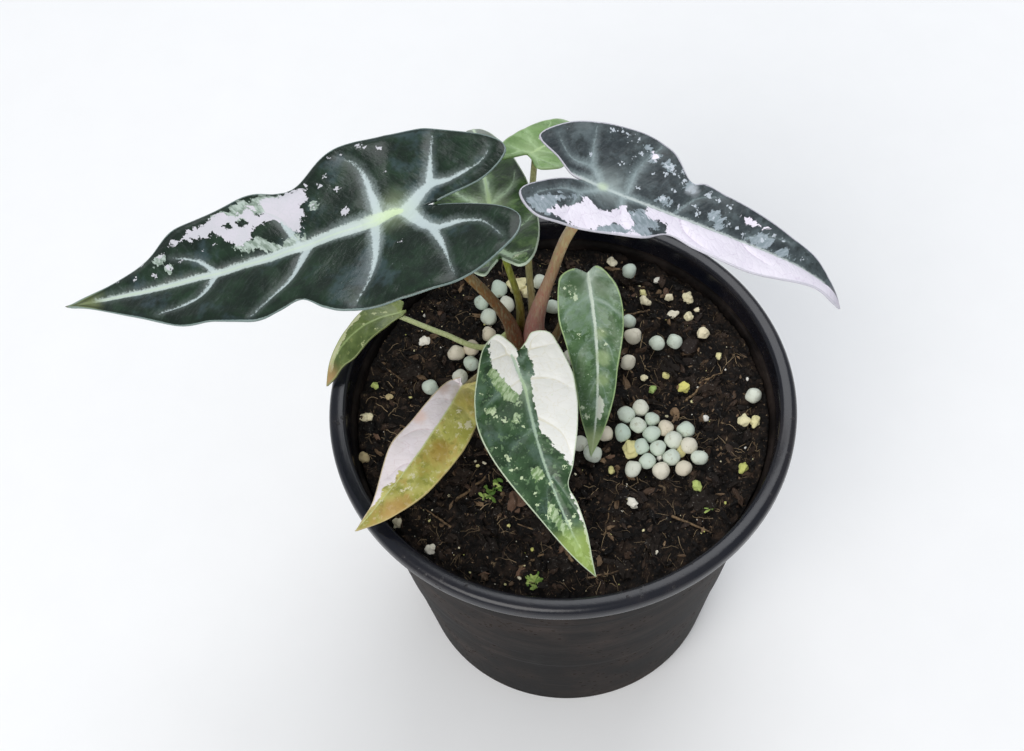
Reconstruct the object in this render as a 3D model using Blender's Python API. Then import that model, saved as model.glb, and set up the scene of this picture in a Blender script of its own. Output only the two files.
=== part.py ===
"""Potted alocasia: a 150 mm plastic nursery pot, its soil with fertiliser
prills on top, and one small variegated plant with eight leaves.

World frame: metres, +Z up, the origin at the centre of the pot's underside,
and -Y towards the plant's front. Lengths below are in millimetres.
"""

import math

import bmesh
import bpy
from mathutils import Matrix, Vector

MM = 0.001
GAP = 0.3

# Pot: a round, tapered shell with a rolled rim.
POT_RIM_RADIUS = 75.0
POT_HEIGHT = 127.0
POT_BASE_RADIUS = 55.0
POT_SHOULDER_RADIUS = 69.4
POT_SHOULDER_Z = 118.0
POT_WALL = 1.5
POT_FLOOR = 1.6
POT_RINGS_Z = (48.0, 97.0)
POT_RING_STEP = 0.4
POT_STACKING_STEP_Z = 116.8
POT_SEGMENTS = 56
DRAIN_HOLES = 8
DRAIN_HOLE_RADIUS = 4.0
DRAIN_HOLE_CIRCLE = 45.0

# Soil and the crown of the plant, which stands in a socket in the soil.
SOIL_LEVEL = 115.0
SOIL_SEGMENTS = 48
CROWN_CENTRE = (-9.5, 26.8)
CROWN_RADIUS = 7.8
CROWN_DEPTH = 7.5
CROWN_TOP = 119.0

PRILL_RADIUS = 2.7

BLADE_THICKNESS = 0.8
LOBE_SHARE = 0.28


def clear_scene():
    for obj in list(bpy.data.objects):
        bpy.data.objects.remove(obj, do_unlink=True)


def material(name, colour, roughness):
    mat = bpy.data.materials.new(name)
    mat.use_nodes = True
    shader = mat.node_tree.nodes["Principled BSDF"]
    shader.inputs["Base Color"].default_value = (*colour, 1.0)
    shader.inputs["Roughness"].default_value = roughness
    shader.inputs["Metallic"].default_value = 0.0
    return mat


def add_object(name, bm, mat, crease_deg=40.0):
    """Turn a bmesh into a smooth-shaded scene object, closed and facing out."""
    bmesh.ops.recalc_face_normals(bm, faces=bm.faces)
    mesh = bpy.data.meshes.new(name)
    bm.to_mesh(mesh)
    bm.free()
    mesh.shade_smooth()
    mesh.set_sharp_from_angle(angle=math.radians(crease_deg))
    mesh.materials.append(mat)
    obj = bpy.data.objects.new(name, mesh)
    bpy.context.scene.collection.objects.link(obj)
    return obj


def turned(profile, segments, centre=(0.0, 0.0)):
    """Spin a profile of (radius, height) points, its ends on the axis."""
    bm = bmesh.new()
    verts = [bm.verts.new((r * MM, 0.0, z * MM)) for r, z in profile]
    edges = [bm.edges.new(pair) for pair in zip(verts, verts[1:])]
    bmesh.ops.spin(
        bm,
        geom=verts + edges,
        cent=(0.0, 0.0, 0.0),
        axis=(0.0, 0.0, 1.0),
        angle=2.0 * math.pi,
        steps=segments,
        use_merge=True,
    )
    bmesh.ops.remove_doubles(bm, verts=bm.verts, dist=1e-6)
    bmesh.ops.translate(bm, verts=bm.verts, vec=(centre[0] * MM, centre[1] * MM, 0.0))
    return bm


def cut(obj, cutter):
    """Subtract a guide object, which stays out of the model itself."""
    cutter.hide_render = True
    cutter.display_type = "WIRE"
    boolean = obj.modifiers.new("cut", "BOOLEAN")
    boolean.operation = "DIFFERENCE"
    boolean.object = cutter


# ---------------------------------------------------------------- pot and soil


def outer_radius(z):
    """Outside of the pot's wall, which widens by a small step at each ring."""
    slope = (POT_SHOULDER_RADIUS - POT_BASE_RADIUS) / POT_SHOULDER_Z
    steps = sum(POT_RING_STEP for ring in POT_RINGS_Z if z > ring)
    return POT_BASE_RADIUS + slope * z + steps - POT_RING_STEP * len(POT_RINGS_Z)


def inner_radius(z):
    slope = (POT_SHOULDER_RADIUS - POT_BASE_RADIUS) / POT_SHOULDER_Z
    return POT_BASE_RADIUS + slope * z - POT_WALL - POT_RING_STEP


def build_pot(mat):
    rim, top = POT_RIM_RADIUS, POT_HEIGHT
    outside = [(0.0, 0.0), (outer_radius(0.0) - 1.5, 0.0), (outer_radius(1.5), 1.5)]
    for ring in POT_RINGS_Z:
        outside += [(outer_radius(ring - 0.5), ring - 0.5), (outer_radius(ring + 0.5), ring + 0.5)]
    outside.append((POT_SHOULDER_RADIUS, POT_SHOULDER_Z))
    bead = [
        (rim - 4.6, top - 6.1),
        (rim - 2.2, top - 6.0),
        (rim - 0.4, top - 4.6),
        (rim, top - 3.0),
        (rim - 0.6, top - 1.2),
        (rim - 2.2, top),
        (rim - 4.0, top - 0.1),
        (rim - 5.2, top - 1.2),
        (rim - 5.6, top - 3.0),
    ]
    step = POT_STACKING_STEP_Z
    inside = [
        (rim - 6.3, step + 1.2),
        (inner_radius(step), step),
        (inner_radius(3.0), 3.0),
        (inner_radius(0.0) - 1.4, POT_FLOOR),
        (0.0, POT_FLOOR),
    ]
    pot = add_object("pot", turned(outside + bead + inside, POT_SEGMENTS), mat, 50.0)

    holes = bmesh.new()
    for i in range(DRAIN_HOLES):
        angle = 2.0 * math.pi * (i + 0.5) / DRAIN_HOLES
        where = Vector((math.cos(angle), math.sin(angle), 0.0)) * DRAIN_HOLE_CIRCLE * MM
        bmesh.ops.create_cone(
            holes,
            cap_ends=True,
            segments=16,
            radius1=DRAIN_HOLE_RADIUS * MM,
            radius2=DRAIN_HOLE_RADIUS * MM,
            depth=6.0 * POT_FLOOR * MM,
            matrix=Matrix.Translation(where),
        )
    cut(pot, add_object("drain_hole_cutter", holes, mat))


def soil_height(x, y):
    """Height of the soil's surface, in mm: a few low rises, level at the wall."""
    fade = max(0.0, 1.0 - (math.hypot(x, y) / 66.0) ** 4)
    swell = 0.7 * math.sin(x / 11.0 + 0.6) * math.cos(y / 13.0)
    swell += 0.4 * math.sin((x + 1.6 * y) / 9.0)
    return SOIL_LEVEL + fade * swell


def build_soil(mat):
    top_radius = inner_radius(SOIL_LEVEL) - GAP
    rings = 9
    profile = [(0.0, POT_FLOOR + GAP), (inner_radius(0.0) - 1.8, POT_FLOOR + GAP)]
    profile.append((inner_radius(3.2) - GAP, 3.2 + GAP))
    profile += [(top_radius * (1.0 - i / rings), SOIL_LEVEL) for i in range(rings + 1)]
    bm = turned(profile, SOIL_SEGMENTS)
    for vert in bm.verts:
        if vert.co.z > 0.9 * SOIL_LEVEL * MM:
            vert.co.z = soil_height(vert.co.x / MM, vert.co.y / MM) * MM
    soil = add_object("soil", bm, mat, 60.0)
    low, high = SOIL_LEVEL - CROWN_DEPTH - GAP, SOIL_LEVEL + 5.0
    radius = CROWN_RADIUS + GAP
    socket = turned([(0.0, low), (radius, low), (radius, high), (0.0, high)], 24, CROWN_CENTRE)
    cut(soil, add_object("crown_socket_cutter", socket, mat))


def build_crown(mat):
    """The short, swollen stem base that carries every petiole."""
    r, top = CROWN_RADIUS, CROWN_TOP
    profile = [
        (0.0, SOIL_LEVEL - CROWN_DEPTH),
        (0.8 * r, SOIL_LEVEL - CROWN_DEPTH),
        (r, SOIL_LEVEL - 4.5),
        (r, SOIL_LEVEL),
        (0.97 * r, top - 1.6),
        (0.86 * r, top - 0.3),
        (0.0, top),
    ]
    add_object("stem_crown", turned(profile, 24, CROWN_CENTRE), mat, 60.0)


# Prills of coated fertiliser that lie on the soil: (x, y) in mm.
PRILLS = (
    (24.3, 54.5), (23.2, 34.0), (24.6, 27.6), (22.0, 17.7), (32.0, 24.5), (38.3, 25.2),
    (62.0, 3.5), (19.6, -1.6), (24.9, 1.9), (30.2, -3.2), (24.4, -6.5), (33.6, -7.9),
    (40.0, -7.6), (18.8, -9.9), (12.8, -9.2), (28.4, -11.6), (35.6, -13.5), (24.2, -16.6),
    (30.3, -18.0), (42.0, -13.6), (36.8, -19.8), (44.8, -19.4), (25.6, -23.0),
    (31.5, -24.4), (19.6, -21.0), (5.7, -12.8), (-20.3, 49.6), (-26.4, 44.4), (-17.0, 42.6),
    (-6.3, 51.0), (-23.2, 38.0), (-2.0, 42.0), (-24.8, 31.0), (-35.6, 21.6), (-43.2, 10.2),
    (-32.0, 14.0),
)


def build_prills(mat):
    for number, (x, y) in enumerate(PRILLS, start=1):
        bm = bmesh.new()
        centre = Vector((x, y, soil_height(x, y) + PRILL_RADIUS + GAP)) * MM
        turn = Matrix.Rotation(0.7 * number, 4, "Z") @ Matrix.Rotation(0.4 * number, 4, "X")
        bmesh.ops.create_icosphere(bm, subdivisions=2, radius=PRILL_RADIUS * MM, matrix=turn)
        obj = add_object(f"prill_{number:02d}", bm, mat, 80.0)
        obj.location = centre


# ---------------------------------------------------------------------- leaves
#
# A blade is drawn flat on its own axes: y runs from the star, where the petiole
# meets the blade, to the tip, and x runs across, positive on the blade's right.
# Each half has an inner edge (lobe tip to sinus) and an outer edge (lobe tip,
# round the lobe, past the waist, to the tip). Points are (y, x) in mm, and
# "share" is how far round the outer edge the ruling through the sinus ends.
# The flat drawing is then bent: arch lifts the midrib, with a power that moves
# the droop towards the tip, bow swings it sideways, and fold tilts both halves.

LEAVES = {
    "large_left": dict(
        star=(-46.0, 15.8, 205.0), tip=(-146.3, 4.0, 180.0),
        arch=24.0, power=2.0, bow=-8.5, fold=0.10, back=0.3, rows=16,
        right=dict(inner=[(-34.4, 12.0), (-26.5, 4.6), (-15.0, 0.9), (-8.0, -0.5)], share=0.20,
                   outer=[(-34.4, 12.0), (-29.0, 18.5), (-12.0, 25.3), (8.0, 27.4), (18.0, 26.3),
                          (27.5, 20.3), (33.0, 19.9), (40.0, 21.7), (52.0, 20.8), (65.0, 18.4),
                          (74.0, 10.0), (86.0, 4.4)]),
        left=dict(inner=[(-35.4, -12.5), (-28.0, -6.2), (-16.0, -2.0), (-8.0, -0.5)], share=0.22,
                  outer=[(-35.4, -12.5), (-30.6, -22.3), (-16.3, -30.3), (-1.0, -32.3),
                         (14.0, -29.5), (21.0, -25.5), (27.5, -19.4), (34.0, -20.4),
                         (41.0, -21.7), (53.0, -18.0), (63.0, -16.0), (80.0, -8.5),
                         (93.0, -3.0)])),
    "large_right": dict(
        star=(15.1, 25.3, 200.0), tip=(83.9, 4.9, 165.0),
        arch=14.0, power=8.0, bow=0.0, fold=0.22, back=0.5, rows=16,
        right=dict(inner=[(-24.8, 15.5), (-19.0, 7.4), (-11.5, 2.0), (-5.0, 0.5)], share=0.18,
                   outer=[(-24.8, 15.5), (-18.3, 21.7), (-8.7, 20.2), (1.2, 17.3), (12.5, 13.7),
                          (20.0, 8.0), (27.9, 9.6), (36.0, 11.0), (45.0, 10.6), (55.0, 8.2),
                          (66.0, 4.6), (74.0, 3.4)]),
        left=dict(inner=[(-24.4, -7.2), (-17.0, -3.0), (-11.5, 0.0), (-5.0, 0.5)], share=0.20,
                  outer=[(-24.4, -7.2), (-16.2, -15.6), (-5.1, -19.4), (5.2, -21.0),
                         (14.0, -18.4), (21.5, -11.6), (27.0, -13.0), (41.0, -10.5),
                         (53.0, -8.0), (63.4, -5.6), (71.0, -2.2)])),
    "back_left": dict(
        star=(-19.9, 32.1, 185.0), tip=(-27.2, 89.0, 155.0),
        arch=20.0, power=2.0, bow=0.0, fold=0.10, back=0.3, rows=12,
        right=dict(inner=[(-35.5, 5.0), (-32.0, 2.0), (-28.4, 0.0)], share=0.12,
                   outer=[(-35.5, 5.0), (-32.8, 8.8), (-22.7, 12.3), (-8.0, 13.4), (8.0, 12.4),
                          (20.0, 10.2), (35.0, 7.5), (50.0, 4.0)]),
        left=dict(inner=[(-38.7, -5.5), (-33.5, -2.6), (-28.4, 0.0)], share=0.14,
                  outer=[(-38.7, -5.5), (-34.0, -9.5), (-24.0, -12.5), (-10.0, -15.5),
                         (2.0, -16.8), (11.0, -14.5), (20.0, -11.2), (35.0, -7.5),
                         (50.0, -4.0)])),
    "back_top": dict(
        star=(-6.3, 48.7, 190.0), tip=(14.8, 74.4, 165.0),
        arch=16.0, power=2.0, bow=0.0, fold=0.10, back=0.3, rows=10,
        right=dict(inner=[(-8.7, 7.2), (-5.6, 3.0), (-3.5, 0.0)], share=0.18,
                   outer=[(-8.7, 7.2), (-3.7, 10.8), (4.0, 10.2), (12.0, 8.5), (24.0, 6.0),
                          (34.0, 3.0)]),
        left=dict(inner=[(-15.4, -1.8), (-9.5, -1.0), (-3.5, 0.0)], share=0.25,
                  outer=[(-15.4, -1.8), (-14.0, -4.6), (-5.0, -8.2), (8.4, -8.8),
                         (17.3, -7.9), (27.0, -6.8), (36.0, -3.2)])),
    "small_left": dict(
        star=(-52.0, 27.2, 137.0), tip=(-76.0, 6.9, 126.0),
        arch=20.0, power=2.0, bow=4.0, fold=0.0, back=0.3, rows=9,
        right=dict(inner=[(-3.6, 2.2), (-2.4, 1.0), (-1.0, 0.0)], share=0.16,
                   outer=[(-3.6, 2.2), (-2.2, 4.6), (3.0, 6.4), (9.0, 4.9), (15.5, 3.1),
                          (21.0, 2.0), (28.0, 1.1)]),
        left=dict(inner=[(-2.2, -1.0), (-1.7, -0.4), (-1.0, 0.0)], share=0.08,
                  outer=[(-2.2, -1.0), (0.5, -1.7), (7.5, -4.8), (14.0, -6.0), (20.0, -6.5),
                         (24.5, -4.6), (29.5, -3.0)])),
    "front_left": dict(
        star=(-31.4, -3.5, 140.0), tip=(-64.0, -47.6, 130.0),
        arch=24.0, power=2.0, bow=-4.0, fold=0.15, back=0.3, rows=12,
        right=dict(inner=[(-2.6, 2.4), (-1.8, 1.2), (-0.8, 0.0)], share=0.06,
                   outer=[(-2.6, 2.4), (1.5, 4.8), (8.9, 6.4), (20.0, 7.8), (28.0, 8.5),
                          (36.0, 6.2), (45.3, 2.0), (51.0, 0.9)]),
        left=dict(inner=[(-4.4, -4.0), (-2.8, -1.8), (-0.8, 0.0)], share=0.08,
                  outer=[(-4.4, -4.0), (-0.4, -7.2), (6.0, -10.6), (15.0, -12.2),
                         (27.0, -11.4), (37.0, -10.4), (46.4, -6.5), (52.0, -3.0)])),
    "front_centre": dict(
        star=(-10.8, -11.7, 150.0), tip=(8.9, -61.2, 122.0),
        arch=20.0, power=2.0, bow=3.6, fold=0.10, back=0.3, rows=14,
        right=dict(inner=[(-19.5, 2.2), (-16.0, -0.9), (-12.3, -2.4)], share=0.16,
                   outer=[(-19.5, 2.2), (-16.4, 7.9), (-9.3, 12.6), (-0.8, 16.7), (6.8, 17.1),
                          (15.7, 15.0), (30.0, 10.0), (40.0, 6.6), (53.0, 2.8)]),
        left=dict(inner=[(-16.4, -8.5), (-14.2, -5.4), (-12.3, -2.4)], share=0.14,
                  outer=[(-16.4, -8.5), (-14.8, -13.0), (-10.0, -14.5), (4.0, -15.4),
                         (14.0, -13.4), (25.0, -8.6), (31.0, -4.7), (37.0, -5.2),
                         (46.0, -4.3), (55.0, -1.6)])),
    "front_right": dict(
        star=(9.1, 19.5, 165.0), tip=(8.7, -18.6, 120.0),
        arch=16.0, power=2.0, bow=-2.5, fold=0.15, back=0.3, rows=12,
        right=dict(inner=[(-2.8, 4.4), (-2.2, 2.2), (-1.2, 0.2)], share=0.12,
                   outer=[(-2.8, 4.4), (-1.2, 8.0), (3.3, 9.8), (11.7, 10.9), (19.0, 9.6),
                          (29.5, 7.5), (42.0, 5.4), (52.0, 2.2)]),
        left=dict(inner=[(-3.4, -2.6), (-2.5, -1.0), (-1.2, 0.2)], share=0.12,
                  outer=[(-3.4, -2.6), (-2.0, -5.2), (2.0, -8.2), (8.0, -9.2), (16.0, -8.6),
                         (27.0, -6.4), (38.0, -5.1), (50.0, -2.6)])),
}


def leaf_axes(leaf):
    """Along the blade, across it to the right, and out of its upper face."""
    star, tip = Vector(leaf["star"]), Vector(leaf["tip"])
    along = (tip - star).normalized()
    up = Vector((0.0, 0.0, 1.0))
    normal = (up - along * up.dot(along)).normalized()
    return star, along, along.cross(normal), normal, (tip - star).length


def bend(leaf, y, x):
    """A point of the flat drawing, carried onto the bent blade (mm)."""
    star, along, across, normal, length = leaf_axes(leaf)
    u = y / length
    if u > 0.0:
        lift = leaf["arch"] * (u - u ** leaf["power"])
        swing = 4.0 * leaf["bow"] * u * (1.0 - u)
    else:
        lift = leaf["arch"] * leaf["back"] * u
        swing = 0.0
    lift += leaf["fold"] * abs(x)
    return star + along * y + across * (x + swing) + normal * lift


def along_polyline(points, share, before=None):
    """Smooth (Catmull-Rom) point at a share of the chord length of a polyline.

    "before" is a point ahead of the first, so that two lines meet smoothly there.
    """
    pts = [Vector(p) for p in points]
    chords = [(b - a).length for a, b in zip(pts, pts[1:])]
    target = share * sum(chords)
    i = 0
    while i < len(chords) - 1 and target > chords[i]:
        target -= chords[i]
        i += 1
    t = min(target / chords[i], 1.0)
    a = pts[i - 1] if i else Vector(before or points[0])
    b, c = pts[i], pts[i + 1]
    d = pts[min(i + 2, len(pts) - 1)]
    return 0.5 * (
        2.0 * b
        + (c - a) * t
        + (2.0 * a - 5.0 * b + 4.0 * c - d) * t ** 2
        + (3.0 * b - a - 3.0 * c + d) * t ** 3
    )


def half_blade(leaf, half, v, w):
    """(y, x) of the drawing: v from lobe tip to leaf tip, w from inside to out."""
    length = leaf_axes(leaf)[4]
    tip = (length, 0.0)
    if v < LOBE_SHARE:
        inside = along_polyline(half["inner"], v / LOBE_SHARE, half["outer"][1])
        run = half["share"] * v / LOBE_SHARE
        outside = along_polyline(half["outer"] + [tip], run, half["inner"][1])
    else:
        t = (v - LOBE_SHARE) / (1.0 - LOBE_SHARE)
        inside = Vector(half["inner"][-1]).lerp(Vector(tip), t)
        outside = along_polyline(half["outer"] + [tip], half["share"] + (1.0 - half["share"]) * t)
    return inside.lerp(outside, w)


def build_leaf(name, leaf, mat):
    bm = bmesh.new()
    columns = 3 if leaf["rows"] > 12 else 2
    for side in ("right", "left"):
        grid = bmesh.ops.create_grid(
            bm, x_segments=columns, y_segments=leaf["rows"], size=0.5
        )
        for vert in grid["verts"]:
            w, v = vert.co.x + 0.5, vert.co.y + 0.5
            y, x = half_blade(leaf, leaf[side], v, w)
            vert.co = bend(leaf, y, x) * MM
    bmesh.ops.remove_doubles(bm, verts=bm.verts, dist=2e-5)
    blade = add_object(name, bm, mat, 80.0)
    solid = blade.modifiers.new("thickness", "SOLIDIFY")
    solid.thickness = BLADE_THICKNESS * MM
    solid.offset = 0.0


# Petioles: where each leaves the crown, the points it passes, and its radius at
# the bottom and at the top. The last point is found from its leaf's star.

PETIOLES = {
    "large_left": dict(path=[(-14.6, 26.2, 120.2), (-16.6, 25.4, 133.0), (-27.8, 20.8, 166.0)],
                       radii=(2.1, 1.5)),
    "large_right": dict(path=[(-8.8, 26.4, 120.2), (-7.6, 26.9, 132.0), (-2.4, 27.2, 155.0),
                              (5.2, 25.8, 183.0)],
                        radii=(3.4, 1.3)),
    "back_left": dict(path=[(-13.0, 31.4, 120.2), (-12.8, 31.4, 132.0), (-16.4, 28.0, 165.0)],
                      radii=(1.5, 1.0)),
    "back_top": dict(path=[(-8.4, 32.3, 120.2), (-8.8, 33.0, 132.0), (-9.2, 36.0, 158.0)],
                     radii=(1.5, 1.0)),
    "small_left": dict(path=[(-16.6, 29.6, 120.2), (-24.6, 23.4, 121.0), (-38.4, 24.6, 128.2)],
                       radii=(1.1, 0.9)),
    "front_left": dict(path=[(-14.0, 21.7, 120.2), (-18.0, 15.0, 126.0), (-26.0, 4.0, 134.5)],
                       radii=(1.3, 1.0)),
    "front_centre": dict(path=[(-9.4, 20.9, 120.2), (-9.8, 14.0, 128.0), (-10.4, -1.0, 142.0)],
                         radii=(1.6, 1.2)),
    "front_right": dict(path=[(-3.4, 23.6, 120.2), (-0.6, 22.9, 130.0), (5.0, 22.6, 150.0)],
                        radii=(1.5, 1.1)),
}


def petiole_end(leaf, before, radius):
    """The end's centre: a gap below the underside, allowing for the end's tilt."""
    star, _, _, normal, _ = leaf_axes(leaf)
    centre = bend(leaf, 1.0, 0.0)
    heading = (centre - Vector(before)).normalized()
    tilt = math.sqrt(max(0.0, 1.0 - heading.dot(normal) ** 2))
    return centre - normal * (0.5 * BLADE_THICKNESS + GAP + radius * tilt + 0.25)


def build_petiole(name, leaf, petiole, mat):
    low, high = petiole["radii"]
    path = [Vector(p) for p in petiole["path"]]
    path.append(petiole_end(leaf, path[-1], high))
    curve = bpy.data.curves.new(name, "CURVE")
    curve.dimensions = "3D"
    curve.resolution_u = 4
    curve.bevel_depth = MM
    curve.bevel_resolution = 2
    curve.use_fill_caps = True
    spline = curve.splines.new("BEZIER")
    spline.bezier_points.add(len(path) - 1)
    lengths = [0.0]
    for a, b in zip(path, path[1:]):
        lengths.append(lengths[-1] + (b - a).length)
    for point, place, run in zip(spline.bezier_points, path, lengths):
        point.co = place * MM
        point.handle_left_type = point.handle_right_type = "AUTO"
        point.radius = low + (high - low) * (run / lengths[-1]) ** 0.6
    curve.materials.append(mat)
    obj = bpy.data.objects.new(name, curve)
    bpy.context.scene.collection.objects.link(obj)


BLADE_COLOURS = {
    "large_left": (0.030, 0.062, 0.040),
    "large_right": (0.330, 0.300, 0.330),
    "back_left": (0.055, 0.120, 0.055),
    "back_top": (0.200, 0.330, 0.130),
    "small_left": (0.210, 0.240, 0.090),
    "front_left": (0.420, 0.330, 0.290),
    "front_centre": (0.150, 0.200, 0.110),
    "front_right": (0.090, 0.200, 0.095),
}

PETIOLE_COLOURS = {
    "large_left": (0.150, 0.075, 0.045),
    "large_right": (0.420, 0.240, 0.200),
    "back_left": (0.170, 0.190, 0.080),
    "back_top": (0.260, 0.230, 0.120),
    "small_left": (0.480, 0.560, 0.220),
    "front_left": (0.300, 0.260, 0.150),
    "front_centre": (0.230, 0.200, 0.110),
    "front_right": (0.180, 0.110, 0.070),
}


clear_scene()
build_pot(material("black_plastic", (0.024, 0.023, 0.026), 0.5))
build_soil(material("peat_mix", (0.050, 0.032, 0.020), 0.95))
build_crown(material("stem_crown", (0.200, 0.120, 0.070), 0.7))
build_prills(material("fertiliser_coat", (0.420, 0.470, 0.420), 0.45))
for key, leaf in LEAVES.items():
    build_leaf(f"leaf_{key}", leaf, material(f"blade_{key}", BLADE_COLOURS[key], 0.42))
    build_petiole(
        f"petiole_{key}",
        leaf,
        PETIOLES[key],
        material(f"petiole_{key}", PETIOLE_COLOURS[key], 0.5),
    )
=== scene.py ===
# %% [markdown]
# # A potted alocasia
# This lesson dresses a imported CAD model: a small variegated alocasia in a plastic
# nursery pot. The CAD gives every place and size. Here each solid gets a detailed
# piece that stands for it: leaves with sunken veins, fleshy stalks, loose peat and
# coated fertiliser beads.
#
# The frame comes first. Nothing in it may move, so its box is kept for the end.

import math
import random
import types

import bmesh
import bpy
import numpy as np
from mathutils import Matrix, Vector, noise


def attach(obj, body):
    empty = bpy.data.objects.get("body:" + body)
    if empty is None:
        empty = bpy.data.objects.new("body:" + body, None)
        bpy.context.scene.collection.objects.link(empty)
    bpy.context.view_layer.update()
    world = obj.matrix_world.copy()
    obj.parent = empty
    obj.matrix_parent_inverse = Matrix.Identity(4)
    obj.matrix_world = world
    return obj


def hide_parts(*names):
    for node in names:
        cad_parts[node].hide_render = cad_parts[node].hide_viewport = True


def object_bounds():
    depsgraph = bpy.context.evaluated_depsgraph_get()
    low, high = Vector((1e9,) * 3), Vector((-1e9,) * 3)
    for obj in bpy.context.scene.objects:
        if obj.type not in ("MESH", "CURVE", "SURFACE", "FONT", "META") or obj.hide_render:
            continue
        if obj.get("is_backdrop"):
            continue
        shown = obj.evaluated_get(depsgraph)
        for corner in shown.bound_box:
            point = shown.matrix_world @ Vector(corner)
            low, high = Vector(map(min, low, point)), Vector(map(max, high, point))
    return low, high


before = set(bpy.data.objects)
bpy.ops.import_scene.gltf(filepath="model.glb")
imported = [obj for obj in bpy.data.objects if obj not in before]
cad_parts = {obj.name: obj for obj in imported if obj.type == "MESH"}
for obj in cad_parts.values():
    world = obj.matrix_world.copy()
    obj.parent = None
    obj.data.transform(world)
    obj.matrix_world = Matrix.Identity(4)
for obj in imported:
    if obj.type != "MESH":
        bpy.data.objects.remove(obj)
cad_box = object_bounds()
MM = 0.001
SCENE = bpy.context.scene


def linked(name, data):
    """A new object at the origin, shown in the scene."""
    made = bpy.data.objects.new(name, data)
    SCENE.collection.objects.link(made)
    return made


print("CAD box, mm:", [[round(c / MM, 1) for c in corner] for corner in cad_box])

# %% [markdown]
# ## Camera, floor and light
# A grower's product picture is taken standing up and looking down, so the camera
# sits above and in front, with a slight roll. A camera can be aimed with a
# constraint, but writing its three axes as a matrix also fixes the roll.
#
# The floor is one wide pale sheet. Leaves and plastic are dark and satin, so they
# mostly show what they reflect: a dim, even sky keeps them dark, and two big soft
# panels draw broad highlights on the rim and on the blades.

# %% Camera
CAMERA_PLACE = Vector((0.0, -0.2646, 0.5663))
CAMERA_RIGHT = Vector((0.9991330, -0.0078171, -0.0408912))
CAMERA_UP = Vector((0.0282077, 0.8495045, 0.5268267))
CAMERA_BACK = Vector((0.0306190, -0.5275234, 0.8489885))

lens = bpy.data.cameras.new("camera")
lens.lens = 56.25
lens.sensor_width = 36.0
camera = linked("camera", lens)
turn = Matrix((CAMERA_RIGHT, CAMERA_UP, CAMERA_BACK)).transposed().to_4x4()
camera.matrix_world = Matrix.Translation(CAMERA_PLACE) @ turn
SCENE.camera = camera
SCENE.view_settings.view_transform = "Standard"
print("Camera looks down at", round(math.degrees(math.asin(CAMERA_BACK.z))), "degrees")

# %% Light
SKY_TINT, SKY_STRENGTH = (0.90, 0.94, 1.0, 1.0), 0.50


def soft_panel(name, place, aim, size, watts, colour):
    """A round area light that faces a point; sizes and places in metres."""
    light = bpy.data.lights.new(name, "AREA")
    light.shape = "DISK"
    light.size = size
    light.energy = watts
    light.color = colour
    heading = Vector(aim) - Vector(place)
    turn = heading.to_track_quat("-Z", "Y").to_matrix().to_4x4()
    linked(name, light).matrix_world = Matrix.Translation(place) @ turn


soft_panel("panel_over", (0.25, 0.75, 1.35), (0, 0, 0.12), 1.1, 8.5, (0.95, 0.97, 1.0))
soft_panel("panel_front", (-0.55, -1.10, 1.30), (0, 0, 0.10), 1.3, 17.0, (1.0, 0.98, 0.95))
sky = bpy.data.worlds.new("sky")
sky.use_nodes = True
backdrop = sky.node_tree.nodes["Background"]
backdrop.inputs["Color"].default_value = SKY_TINT
backdrop.inputs["Strength"].default_value = SKY_STRENGTH
SCENE.world = sky

# %% [markdown]
# ## A small kit for finishes
# A finish is a node tree. Placing nodes one by one in code is long and hard to
# read, so two small helpers do it. `Sock` wraps one output and turns ordinary
# arithmetic into Math nodes, so `1 - mask` works. `Finish` holds the material and
# has one method that adds any other node from its type, settings and sockets.
# Colours are written as 0 to 255 values and changed to Blender's linear light.

# %% Sockets that do arithmetic
class Sock:
    """One output of a finish's node tree."""

    def __init__(self, finish, socket):
        self.finish, self.socket = finish, socket

    def maths(self, operation, *others):
        values = dict(enumerate((self,) + others))
        return self.finish.node("ShaderNodeMath", {"operation": operation}, values)

    def __add__(self, other):
        return self.maths("ADD", other)

    def __mul__(self, other):
        return self.maths("MULTIPLY", other)

    def __sub__(self, other):
        return self.maths("SUBTRACT", other)

    def __rsub__(self, other):
        return (self * -1.0) + other

    __radd__, __rmul__ = __add__, __mul__

    def least(self, other):
        return self.maths("MINIMUM", other)

    def most(self, other):
        return self.maths("MAXIMUM", other)

    def ramp(self, low, high):
        """0 at low, 1 at high, with soft ends; low may be the greater."""
        return self.finish.node(
            "ShaderNodeMapRange", {"interpolation_type": "SMOOTHSTEP"},
            {"Value": self, "From Min": low, "From Max": high})


print("Socket arithmetic ready")

# %% Finishes
def linear(colour):
    """0 to 255 display colour as linear red, green, blue and alpha."""
    parts = [c / 255.0 for c in colour]
    return tuple(p / 12.92 if p <= 0.04045 else ((p + 0.055) / 1.055) ** 2.4
                 for p in parts) + (1.0,)


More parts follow.
